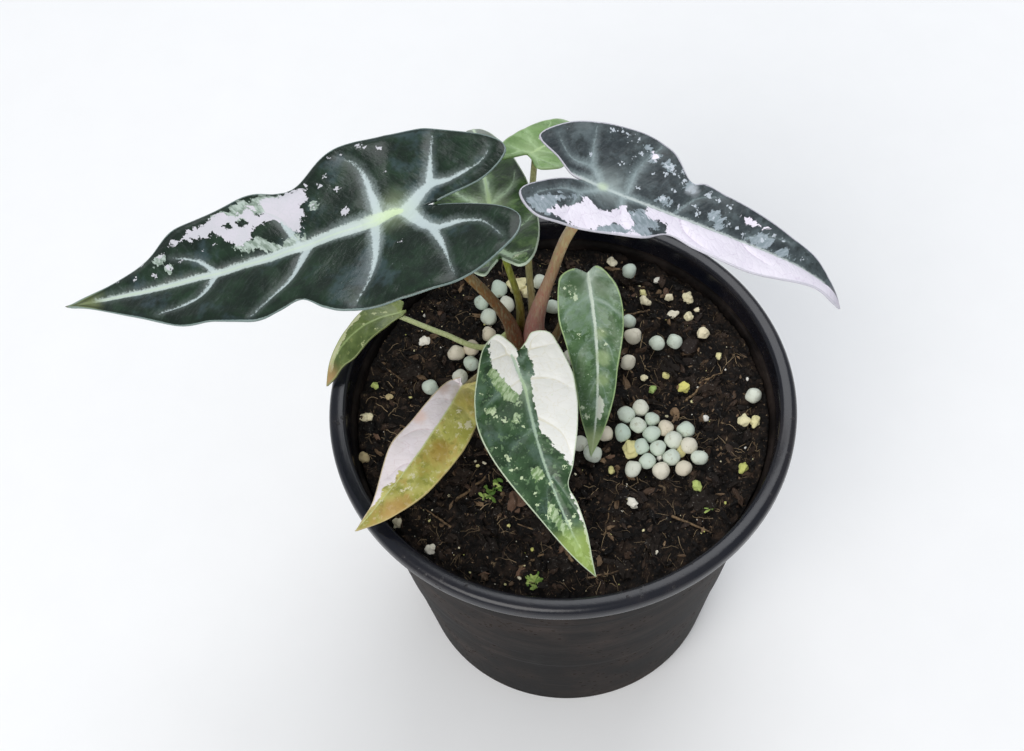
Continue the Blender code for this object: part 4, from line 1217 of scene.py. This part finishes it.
                      [(22.3, 4.6), (22.6, 1.8), (26.1, 1.6), (27.0, 4.8)],
                      [(33.0, 3.4), (36.0, 1.2), (44.0, 0.6), (56.0, -1.0), (56.0, 1.6),
                       (46.0, 2.2), (39.0, 4.4)]],
        sage_spots=[(2.5, 11.5, 1.5), (7.5, 5.0, 1.3)],
        specks=[(1.0, 13.9, 1.0), (3.1, 11.5, 1.3), (6.1, 8.5, 1.2), (4.6, 10.2, 1.0),
                (17.6, 10.2, 1.1), (16.3, 10.9, 0.9), (20.7, 10.1, 0.9), (26.5, 2.5, 0.9),
                (36.5, 3.6, 1.1), (40.8, -0.2, 1.3), (10.0, 3.0, 0.8), (7.5, 4.6, 0.9),
                (32.1, 0.3, 0.8), (-3.8, 13.6, 0.7), (33.3, 6.5, 0.9), (25.4, -5.6, 0.9),
                (17.1, -3.5, 0.7), (40.3, -2.5, 0.9), (28.6, 0.4, 0.8), (20.7, 9.0, 0.8),
                (42.9, 0.0, 1.1), (38.0, 5.0, 0.9), (46.0, 2.0, 1.0), (49.0, 0.0, 1.0),
                (30.0, 6.0, 0.9), (13.0, 13.0, 0.7), (24.0, 8.0, 0.8)],
        tip=(41.0, (168, 192, 98), 0.7)),
    "front_right": dict(
        grid=(110, 28), vein_width=0.55, rib_width=(0.60, 0.25), sink=0.30, quilt=0.5,
        ripple=(3.5, 0.5), feather=0.5, halo=0.6, haze_reach=26.0, margin_width=0.45,
        margin_strength=0.85, vein_strength=0.4, crumb=0.6, specular=0.45,
        ground=((60, 94, 48), (96, 128, 84)), vein=(150, 172, 158), rib=(204, 216, 204),
        # The two pale grey-green blotches are painted sheen; the dark one is the leaf's own mottling.
        blotches=[(0.12, 0.49, 0.60, (132, 154, 138), 0.6), (0.3, 0.51, 0.60, (52, 86, 40), 0.75),
                  (0.8, 0.58, 0.66, (170, 190, 172), 0.4)], crumb_from=0.71,
        fleck=(206, 220, 186),
        heart=(208, 220, 206), centre_strength=0.1, margin=(164, 190, 132),
        pale=((206, 214, 196), (214, 220, 206)), sage=(134, 156, 140),
        sage_two=(118, 146, 112), jag=2.6, under=((146, 168, 122), (134, 154, 112)),
        sage_patches=[[(6.0, 9.0), (5.0, 1.0), (14.0, 1.4), (18.0, 3.0), (15.0, 8.5)],
                      [(6.0, -2.0), (10.0, -1.0), (16.0, -1.0), (14.0, -5.0), (8.0, -5.0)]],
        pale_patches=[[(37.2, -0.9), (39.0, -2.2), (41.8, -2.0), (44.9, -1.3), (44.0, -0.2),
                       (41.0, 0.2), (38.4, 0.0)]],
        sage_strength=0.5,
        specks=[(1.7, 6.0, 0.9), (3.1, 4.8, 1.0), (6.0, 5.2, 1.2), (17.5, 5.5, 0.8),
                (40.8, 4.6, 1.0), (43.9, 3.2, 1.2), (48.0, -0.4, 0.8), (2.6, 7.6, 0.7),
                (16.4, -2.4, 0.7), (20.0, -2.8, 0.9), (30.0, 2.6, 0.7), (4.4, 6.6, 0.9)],
        tints=[(17.0, -1.6, 2.6, (152, 170, 122), 0.7), (24.5, -1.7, 3.2, (150, 172, 120), 0.7),
               (32.0, -1.6, 3.2, (150, 172, 120), 0.7), (0.0, 4.0, 5.0, (50, 84, 34), 0.75),
               (2.0, -4.6, 5.0, (52, 86, 36), 0.7), (26.0, 6.0, 4.0, (62, 96, 46), 0.5),
               (24.0, -6.4, 3.0, (70, 106, 50), 0.6)],
        tip=(46.0, (178, 194, 140), 0.8)),
}
LOOKS = {name: {**PLAIN_LOOK, **look} for name, look in LOOKS.items()}
print("Looks of", len(LOOKS), "blades")

# %% [markdown]
# ## The blade finish
# The upper face is built in layers, as the leaf is: two greens mottled together,
# a faint net of small veins, feathered side veins and midrib, then the parts
# without chlorophyll, grey-green first and pale on top. On some blades part of the
# mottling is grey-blue painted sheen, and on the big dark blade the margin band is
# partly a painted reflection of the sky. Patches follow cell lines,
# so their edges are broken with noise and cells stretched along the side veins.
# A satin shader with a soft bump gives the quilted, slightly waxy skin. The
# underside is paler and duller, with its veins raised.

# %% Patterns that the layers share
FIELDS = ("vein", "rib", "edge", "pale", "sage", "speck")
UV_MM = 100.0
IN_MM = (UV_MM, UV_MM, UV_MM)
NET_GRAIN = (26, 50, 1)


def blade_patterns(leaf):
    """The noises and stored distances of one blade; flat is in millimetres."""
    at = types.SimpleNamespace(**{field: leaf.field(field) for field in FIELDS})
    at.flat = flat = leaf.place("flat", IN_MM)
    at.across = leaf.node("ShaderNodeSeparateXYZ", {}, {"Vector": flat}, "X").maths("ABSOLUTE")
    at.along = leaf.node("ShaderNodeSeparateXYZ", {}, {"Vector": flat}, "Y")
    at.from_star = leaf.node("ShaderNodeVectorMath", {"operation": "LENGTH"}, {0: flat}, "Value")
    at.cloud = leaf.noise(flat, 0.11, 3.0, 0.55)
    at.fine = leaf.noise(flat, 1.5, 4.0, 0.62)
    at.hair = leaf.noise(flat, 1.4, 4.0, 0.75)
    at.chips = leaf.noise(flat, 0.75, 3.0, 0.7)
    at.crumbs = leaf.noise(flat, 1.1, 2.0, 0.6)
    at.wander = leaf.noise(leaf.place("grain", (9, 38, 1)), 1.0, 5.0, 0.62)
    at.block = leaf.cells(leaf.place("grain", (20, 62, 1)), 1.0, "F1", "Color")
    at.small = leaf.noise(leaf.place("grain", (34, 90, 1)), 1.0, 3.0, 0.6)
    at.rays = leaf.noise(leaf.place("grain", (14, 70, 1)), 1.0, 3.0, 0.6)
    at.net = leaf.cells(leaf.place("grain", NET_GRAIN), 1.0, "DISTANCE_TO_EDGE")
    at.net_line = at.net.ramp(0.055, 0.0) * at.fine.ramp(0.35, 0.60)
    return at


print("Patterns ready; stored distances:", ", ".join(FIELDS))

# %% Greens and veins
def greens(leaf, at, look):
    """Two mottled greens, then faint rays, a small net and clouds of other tints, some of them grey-blue
    painted sheen.
    """
    ground = leaf.mix(at.cloud.ramp(0.34, 0.66), *look["ground"])
    ground = leaf.mix(at.rays.ramp(0.55, 0.80) * look["ray"], ground, look["vein"])
    ground = leaf.mix(at.net_line * look["net"], ground, look["vein"])
    # Some blotches are the leaf's own mottling, others are grey-blue patches of painted sheen.
    for scale, low, high, tint, strength in look["blotches"]:
        blotch_and_sheen = leaf.noise(at.flat, scale, 4.0, 0.62).ramp(low, high) * strength
        ground = leaf.mix(blotch_and_sheen, ground, tint)
    return ground


def side_veins(leaf, at, look, ground):
    """Feathered side veins, in a haze that thins away from the star."""
    feather = look["feather"]
    ragged = ((at.wander - 0.5) * 1.5 + (at.hair - 0.5) * 2.6) * feather
    at.vein_mask = (at.vein + ragged).ramp(feather * 0.7, -0.15)
    at.rib_mask = (at.rib + ragged).ramp(feather * 0.7, -0.2)
    near_star = at.from_star.ramp(look["haze_reach"], 4.0) * 0.8 + 0.2
    haze = (at.vein.least(at.rib) + ragged * 1.6).ramp(feather * 3.2, 0.0) * near_star
    veined = leaf.mix(haze * look["halo"], ground, look["vein"])
    return leaf.mix(at.vein_mask * look["vein_strength"], veined, look["vein"])


print("Greens and veins ready")

# %% Variegation
def variegation(leaf, at, look, veined):
    """Grey-green patches, the pale patches over them, then the flecks."""
    jag = (at.wander - 0.5) * 1.4 + (at.block - 0.5) * 0.6 + (at.chips - 0.5) * 1.3
    jag = jag * look["jag"]
    sage_mask = (at.sage + jag).ramp(-0.18, 0.18) * look["sage_strength"]
    sage_two = look.get("sage_two", look["sage"])
    sage_tone = leaf.mix(at.small.ramp(0.4, 0.6), look["sage"], sage_two)
    with_sage = leaf.mix(sage_mask, veined, sage_tone)

    at.pale_mask = (at.pale + jag * 0.8).ramp(-0.14, 0.14)
    pale_tone = leaf.mix(at.cloud.ramp(0.38, 0.62), *look["pale"])
    pale_vein = at.vein.ramp(0.30, 0.0) * look["pale_vein"]
    pale_net = (at.net_line * look["pale_net"]).most(pale_vein)
    pale_tone = leaf.mix(pale_net, pale_tone, look["pale_line"])
    patched = leaf.mix(at.pale_mask, with_sage, pale_tone)

    crumb_from = look["crumb_from"]
    crumb_mask = at.crumbs.ramp(crumb_from, crumb_from + 0.02) * at.cloud.ramp(0.50, 0.58)
    speck_edge = at.speck - 0.45 + (at.chips - 0.5) * 3.4 + (at.crumbs - 0.5) * 3.0
    fleck_mask = (speck_edge.ramp(-0.1, 0.12) * 0.92).most(crumb_mask * look["crumb"])
    return leaf.mix(fleck_mask, patched, look.get("fleck", look["pale"][0]))


print("Variegation ready")

# %% Midrib, tip and margin
def midrib(leaf, at, look, patched):
    """A glow round the star, the midrib, and the line down its middle."""
    heart = (at.from_star + (at.wander - 0.5) * 4.0).ramp(look["heart_reach"], 1.0)
    glow = heart * heart * (1 - at.pale_mask) * look["glow"]
    patched = leaf.mix(glow, patched, look["heart"])
    rib_tone = leaf.mix(heart, look["rib"], look["heart"])
    ribbed = leaf.mix(at.rib_mask * look["rib_strength"], patched, rib_tone)
    centre = at.across.ramp(0.55, 0.15) * at.rib_mask * look["centre_strength"]
    return leaf.mix(centre, ribbed, look["centre"])


def tints_and_margin(leaf, at, look, ribbed):
    """Soft round tints, the tip's colour, and the margin band inside a dark line; on the big dark blade
    that band is partly a painted reflection of the sky.
    """
    for y, x, reach, tint, strength in look["tints"]:
        away = leaf.node("ShaderNodeVectorMath", {"operation": "DISTANCE"},
                         {0: at.flat, 1: (x, y, 0.0)}, "Value")
        away = away + (at.cloud - 0.5) * reach + (at.wander - 0.5) * reach
        ribbed = leaf.mix(away.ramp(reach, reach * 0.25) * strength, ribbed, tint)
    tip_from, tip_colour, tip_strength = look["tip"]
    tip_mask = (at.along + (at.wander - 0.5) * 4.0).ramp(tip_from, tip_from + 7.0)
    tipped = leaf.mix(tip_mask * tip_strength, ribbed, tip_colour)
    dark_line = (at.edge.ramp(1.5, 0.7) - at.edge.ramp(0.7, 0.35)) * look["dark_line"]
    lined = leaf.mix(dark_line * (1 - at.pale_mask), tipped, look["ground"][0])
    # Margin band: edge colour, and on the big dark blade partly a painted sky reflection.
    margin = (at.edge + (at.fine - 0.5) * 0.35).ramp(look["margin_width"], 0.25)
    return leaf.mix(margin * look["margin_strength"], lined, look["margin"])


print("Midrib, tip and margin ready")

# %% Upper face
def blade_finish(name, look):
    """The layers in growing order, under one satin skin."""
    leaf = Finish(f"blade_{name}", look["gloss"], look["specular"])
    at = blade_patterns(leaf)
    colour = greens(leaf, at, look)
    for layer in (side_veins, variegation, midrib, tints_and_margin):
        colour = layer(leaf, at, look, colour)
    dulled = at.vein_mask * 0.06 + at.pale_mask * 0.08 + (at.fine - 0.5) * 0.10
    leaf.set(Base_Color=colour, Roughness=look["gloss"] + (at.cloud - 0.5) * 0.16 + dulled)
    leaf.bump((at.cloud, 0.5), (at.rays, 0.10), (at.net, 0.10), (at.fine, 0.05))
    return leaf


print("Upper face ready")

# %% Underside
def underside_finish(name, look):
    """Paler and duller than the upper face, with raised veins."""
    under = Finish(f"underside_{name}", 0.55, 0.3)
    flat = under.place("flat", IN_MM)
    cloud, fine = under.noise(flat, 0.12, 4.0), under.noise(flat, 1.4, 4.0)
    pale_mask = (under.field("pale") + (cloud - 0.5) * 6.0).ramp(-0.4, 0.4)
    body = under.mix(cloud.ramp(0.35, 0.65), *look["under"])
    body = under.mix(pale_mask * 0.8, body, look["pale"][1])
    net = under.cells(under.place("grain", NET_GRAIN), 1.0, "DISTANCE_TO_EDGE")
    body = under.mix(net.ramp(0.06, 0.0) * 0.22, body, (176, 186, 156))
    ridge = under.field("vein").ramp(0.5, -0.2).most(under.field("rib").ramp(0.6, -0.3))
    under.set(Base_Color=under.mix(ridge * 0.7, body, look["under_vein"]),
              Roughness=0.58 + (fine - 0.5) * 0.16)
    under.bump((ridge, 0.45), (net, 0.10), (fine, 0.05))
    return under


print("Underside ready")

# %% [markdown]
# ## Growing the blades
# Each half starts as a grid whose points are placed on the drawing and bent. The
# surface is then quilted: it sinks along the veins and swells between them, and
# the margin ripples. Two UV maps are stored, one of flat millimetres and one
# turned to run along the side veins. The halves are merged, faced upwards, and a
# Solidify gives the blade its thickness, with the underside as a second finish.

# %% Blade maps and relief
GRAIN = math.radians(52.0)
RIB_STEPS, RIB_OVERRUN = 30, 1.5
BLADE_THICK = 0.7


def blade_fields(leaf, look, side, flat, margin):
    """Every stored distance, at the flat points of one half."""
    length = leaf_axes(leaf)[4] + RIB_OVERRUN
    thick, thin = look["rib_width"]
    rib_line = []
    for i in range(RIB_STEPS + 1):
        share = i / RIB_STEPS
        half_width = (thick + (thin - thick) * share ** 0.8) * min(1.0, 0.35 + 0.4 * i)
        rib_line.append((look["rib_from"] + length * share, 0.0, half_width))
    return {
        "vein": to_lines(flat, vein_lines(leaf, look["vein_width"])),
        "rib": to_lines(flat, [rib_line]),
        "edge": to_lines(flat, [margin]),
        "pale": patches(flat, side, look["pale_patches"], (), look["islands"]),
        "sage": patches(flat, side, look["sage_patches"], look["sage_spots"]),
        "speck": patches(flat, side, (), look["specks"]),
    }


def relief(look, fields, ruled, flat, phase, turn):
    """Height in mm above the bent blade: sunken veins, quilting, rippled margin."""
    vein = np.maximum(fields["vein"], 0.0)
    rib = np.maximum(fields["rib"], 0.0)
    sunk = -look["sink"] * np.exp(-np.minimum(vein, rib * 1.2) / 0.9)
    quilt = look["quilt"] * (1.0 - np.exp(-np.minimum(vein, rib) / 3.5))
    count, high = look["ripple"]
    v, w = ruled[:, 0], ruled[:, 1]
    waves = np.sin(2 * math.pi * count * v + phase + turn)
    ripple = high * w ** 3 * waves * np.sin(math.pi * v)
    crumple = np.array([noise.noise(Vector((y * 0.09, x * 0.09, phase))) for y, x in flat])
    return sunk + quilt * np.clip(fields["edge"] / 2.5, 0, 1) + ripple + crumple * look["quilt"]


def margin_line(leaf, rulings):
    """The outline of one half as (y, x, 0); a long blade's runs round its lobe."""
    outer = [(*rulings[v][1], 0.0) for v in list(rulings)[::3]]
    if leaf_axes(leaf)[4] <= 60.0:
        return outer
    inner = [(*rulings[v][0], 0.0) for v in rulings if v < LOBE_SHARE - 0.05]
    return inner[::-3] + outer


print("Blade maps ready")

# %% Blades
def build_blade(name, leaf, look):
    """Both halves of a blade and their maps, as one thin closed piece."""
    rows, columns = look["grid"]
    bm = bmesh.new()
    uv_flat, uv_grain = bm.loops.layers.uv.new("flat"), bm.loops.layers.uv.new("grain")
    layers = {key: bm.verts.layers.float.new(key) for key in FIELDS}
    for side, turn in (("right", 1.0), ("left", -1.0)):
        grid = bmesh.ops.create_grid(bm, x_segments=columns, y_segments=rows, size=0.5)
        verts = grid["verts"]
        ruled = np.array([(vert.co.y + 0.5, vert.co.x + 0.5) for vert in verts])
        rulings = {v: ruling(leaf, leaf[side], v) for v in sorted(set(ruled[:, 0]))}
        flat = np.array([rulings[v][0].lerp(rulings[v][1], w) for v, w in ruled])
        fields = blade_fields(leaf, look, side, flat, margin_line(leaf, rulings))
        points = bend(leaf, flat, relief(look, fields, ruled, flat, leaf["arch"], turn))
        ahead, aside = flat[:, 0], np.abs(flat[:, 1])
        run = ahead * math.cos(GRAIN) + aside * math.sin(GRAIN)
        cross = -ahead * math.sin(GRAIN) + aside * math.cos(GRAIN) + 61.0 * (turn < 0)
        for i, vert in enumerate(verts):
            vert.co = Vector(points[i]) * MM
            for key, layer in layers.items():
                vert[layer] = fields[key][i]
            for loop in vert.link_loops:
                loop[uv_flat].uv = (flat[i, 1] / UV_MM, flat[i, 0] / UV_MM)
                loop[uv_grain].uv = (run[i] / UV_MM, cross[i] / UV_MM)
    closed_up(bm)
    if sum(face.normal.z * face.calc_area() for face in bm.faces) < 0.0:
        bmesh.ops.reverse_faces(bm, faces=bm.faces)
    finishes = [blade_finish(name, look), underside_finish(name, look)]
    blade = piece(f"blade_{name}", bm, finishes, [f"leaf_{name}"], 180.0)
    solid = blade.modifiers.new("thickness", "SOLIDIFY")
    solid.thickness = BLADE_THICK * MM
    solid.offset = 0.0
    solid.material_offset = 1
    solid.use_rim = True


for name, leaf in LEAVES.items():
    build_blade(name, leaf, LOOKS[name])

# %% [markdown]
# ## Stalks and crown
# Each blade hangs from a fleshy stalk that is thick and sheathed at the crown and
# thin at the blade. A bevelled curve would do, but a tube opened flat as a grid
# lets the sheath swell, the stalk lose its roundness and the skin carry a map of
# its own. Every stalk has its colours: brown, pink-tan, olive or lime, with fine
# streaks and rusty flecks along it.

# %% Stalk shapes and colours
STALKS = {
    "large_left": dict(
        path=[(-14.6, 26.2, 120.2), (-16.6, 25.4, 133.0), (-27.8, 20.8, 166.0)],
        radii=(2.1, 1.5), sheath=1.6, low=(104, 76, 56), high=(126, 108, 62),
        fleck=(150, 80, 44)),
    "large_right": dict(
        path=[(-8.8, 26.4, 120.2), (-7.6, 26.9, 132.0), (-2.4, 27.2, 155.0), (5.2, 25.8, 183.0)],
        radii=(2.1, 1.6), sheath=2.1, sheath_run=0.42, low=(172, 124, 118),
        high=(172, 152, 108), fleck=(176, 108, 98)),
    "back_left": dict(
        path=[(-13.0, 31.4, 120.2), (-12.8, 31.4, 132.0), (-16.4, 28.0, 165.0)],
        radii=(1.5, 1.0), sheath=1.3, low=(128, 116, 54), high=(142, 154, 56),
        fleck=(98, 84, 40)),
    "back_top": dict(
        path=[(-8.4, 32.3, 120.2), (-8.8, 33.0, 132.0), (-9.2, 36.0, 158.0)],
        radii=(1.5, 1.0), sheath=1.4, low=(138, 124, 88), high=(150, 152, 98),
        fleck=(110, 96, 62)),
    "small_left": dict(
        path=[(-16.6, 29.6, 120.2), (-24.6, 23.4, 121.0), (-38.4, 24.6, 128.2)],
        radii=(1.1, 0.9), sheath=1.3, low=(168, 176, 118), high=(190, 200, 148),
        fleck=(150, 160, 96)),
    "front_left": dict(
        path=[(-14.0, 21.7, 120.2), (-18.0, 15.0, 126.0), (-26.0, 4.0, 134.5)],
        radii=(1.3, 1.0), sheath=1.3, low=(132, 112, 78), high=(164, 150, 106),
        fleck=(116, 92, 62)),
    "front_centre": dict(
        path=[(-9.4, 20.9, 120.2), (-9.8, 14.0, 128.0), (-10.4, -1.0, 142.0)],
        radii=(1.6, 1.2), sheath=1.4, low=(136, 110, 82), high=(158, 150, 104),
        fleck=(120, 92, 66)),
    "front_right": dict(
        path=[(-3.4, 23.6, 120.2), (-0.6, 22.9, 130.0), (5.0, 22.6, 150.0)],
        radii=(1.5, 1.1), sheath=1.4, low=(108, 88, 60), high=(124, 122, 82),
        fleck=(136, 90, 60)),
}
print("Stalks listed:", len(STALKS))

# %% Stalk path and finish
def smooth_path(points, share):
    """A rounded path through points in space, at a share of its length."""
    pts, chords, i, t = find_span(points, share)
    ways = [(b - a).normalized() for a, b in zip(pts, pts[1:])]
    begin = (ways[i] + ways[max(i - 1, 0)]).normalized() * chords[i]
    end = (ways[i] + ways[min(i + 1, len(ways) - 1)]).normalized() * chords[i]
    return (pts[i] * (2 * t ** 3 - 3 * t ** 2 + 1) + begin * (t ** 3 - 2 * t ** 2 + t)
            + pts[i + 1] * (3 * t ** 2 - 2 * t ** 3) + end * (t ** 3 - t ** 2))


def stalk_finish(name, look):
    """Fleshy skin that changes colour up the stalk, with streaks and flecks."""
    stalk = Finish(f"stalk_{name}", 0.42, 0.4)
    skin = stalk.place("skin")
    run = stalk.node("ShaderNodeSeparateXYZ", {}, {"Vector": skin}, "Y")
    around = stalk.place(scale=(1, 1, 0.16))
    streak = stalk.noise(around, 1600.0, 3.0, 0.6)
    mottle = stalk.noise(stalk.place(), 330.0, 4.0, 0.6)
    fleck = stalk.cells(stalk.place(scale=(1, 1, 0.4)), 900.0).ramp(0.34, 0.16)
    base = stalk.mix((run + (mottle - 0.5) * 0.5).ramp(0.05, 0.75), look["low"], look["high"])
    base = stalk.mix(streak.ramp(0.40, 0.70) * 0.35, base, look["fleck"])
    base = stalk.mix(streak.ramp(0.56, 0.30) * 0.25, base, (206, 200, 168))
    stalk.set(Base_Color=stalk.mix(fleck * mottle.ramp(0.45, 0.58) * 0.8, base, look["fleck"]),
              Roughness=0.42 + (mottle - 0.5) * 0.2)
    stalk.bump((streak, 0.10), (mottle, 0.12), (fleck, 0.06))
    return stalk


print("Stalk finish ready")

# %% Stalks
STALK_AROUND, STALK_ALONG, ROOTED = 20, 70, 3.0
SHEATH_SIDE = Vector((1.0, 0.35, 0.0)).normalized()


def stalk_path(name, leaf, stalk):
    """From inside the crown to just under the star of the blade."""
    star = np.array([(1.0, 0.0)])
    no_margin = [(40.0, 40.0, 0.0), (41.0, 40.0, 0.0)]
    fields = blade_fields(leaf, LOOKS[name], "right", star, no_margin)
    sunk = relief(LOOKS[name], fields, np.array([(0.3, 0.0)]), star, leaf["arch"], 1.0)
    top = Vector(bend(leaf, star, sunk)[0])
    path = [Vector(p) for p in stalk["path"]]
    heading, normal = (top - path[-1]).normalized(), leaf_axes(leaf)[3]
    lean = math.sqrt(max(0.0, 1.0 - heading.dot(normal) ** 2))
    top -= normal * (0.2 + stalk["radii"][1] * lean)
    root = path[0] + (path[0] - path[1]).normalized() * ROOTED
    return [root] + path + [top]


def build_stalk(name, leaf, stalk):
    """A grid rolled into a tube round its path, thick and sheathed at the crown."""
    path = stalk_path(name, leaf, stalk)
    low, high = stalk["radii"]
    sheath_run = stalk.get("sheath_run", 0.30)
    bm = bmesh.new()
    skin = bm.loops.layers.uv.new("skin")
    grid = bmesh.ops.create_grid(bm, x_segments=STALK_AROUND, y_segments=STALK_ALONG, size=0.5)
    for vert in grid["verts"]:
        turn, run = (vert.co.x + 0.5), (vert.co.y + 0.5)
        at = smooth_path(path, run)
        way = (smooth_path(path, min(run + 0.01, 1.0))
               - smooth_path(path, max(run - 0.01, 0.0))).normalized()
        out = (SHEATH_SIDE - way * SHEATH_SIDE.dot(way)).normalized()
        over = way.cross(out)
        angle = 2.0 * math.pi * turn
        radius = low + (high - low) * run ** 0.6
        radius *= 1.0 + (stalk["sheath"] - 1.0) * max(0.0, 1.0 - run / sheath_run) ** 1.3
        radius *= 1.0 - 0.07 * math.cos(2.0 * angle) + 0.03 * math.sin(5.0 * angle + 3.0 * run)
        for loop in vert.link_loops:
            loop[skin].uv = (turn, run)
        vert.co = (at + (out * math.cos(angle) + over * math.sin(angle)) * radius) * MM
    bmesh.ops.remove_doubles(bm, verts=bm.verts, dist=MERGE)
    bmesh.ops.holes_fill(bm, edges=[edge for edge in bm.edges if edge.is_boundary], sides=0)
    bmesh.ops.recalc_face_normals(bm, faces=bm.faces)
    piece(f"stalk_{name}", bm, [stalk_finish(name, stalk)],
          [f"petiole_{name}"], 60.0)


for name, leaf in LEAVES.items():
    build_stalk(name, leaf, STALKS[name])

# %% Crown
crown_profile = [(0, 107.6), (6.0, 107.6), (7.6, 109.5), (7.8, 112), (7.7, 115), (7.2, 117),
                 (6.0, 118.2), (4.0, 118.7), (2.0, 118.9), (0, 119)]
CROWN_STEPS, LONGEST_EDGE = 72, 1.4
bm = turned(crown_profile, CROWN_STEPS)
long_edges = [edge for edge in bm.edges if edge.calc_length() > LONGEST_EDGE * MM]
bmesh.ops.subdivide_edges(bm, edges=long_edges, cuts=1, use_grid_fill=True)
for vert in bm.verts:
    angle = math.atan2(vert.co.y, vert.co.x)
    scar = 0.05 * math.sin(angle * 3 + vert.co.z / MM * 1.1) - 0.03 * math.sin(angle * 11)
    lump = 0.08 * noise.noise(vert.co * 260.0)
    flat = vert.co.xy * (1.0 + scar * 0.6 + lump)
    vert.co = Vector((flat.x + CROWN_CENTRE[0] * MM, flat.y + CROWN_CENTRE[1] * MM, vert.co.z))
closed_up(bm)
crown = stalk_finish("crown", dict(low=(92, 66, 48), high=(124, 92, 66), fleck=(64, 44, 32)))
piece("stem_base", bm, [crown], ["stem_crown"], 60.0)

# %% [markdown]
# ## Last measure
# The dressed plant's box is printed beside the CAD's. The dressed plant has to stay
# inside the CAD's box, give or take a little.

# %% Size and finish
dressed_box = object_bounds()
for low_high, cad, dressed in zip(("low", "high"), cad_box, dressed_box):
    print(low_high, "corner, mm: CAD", [round(c / MM, 1) for c in cad], "dressed",
          [round(c / MM, 1) for c in dressed])
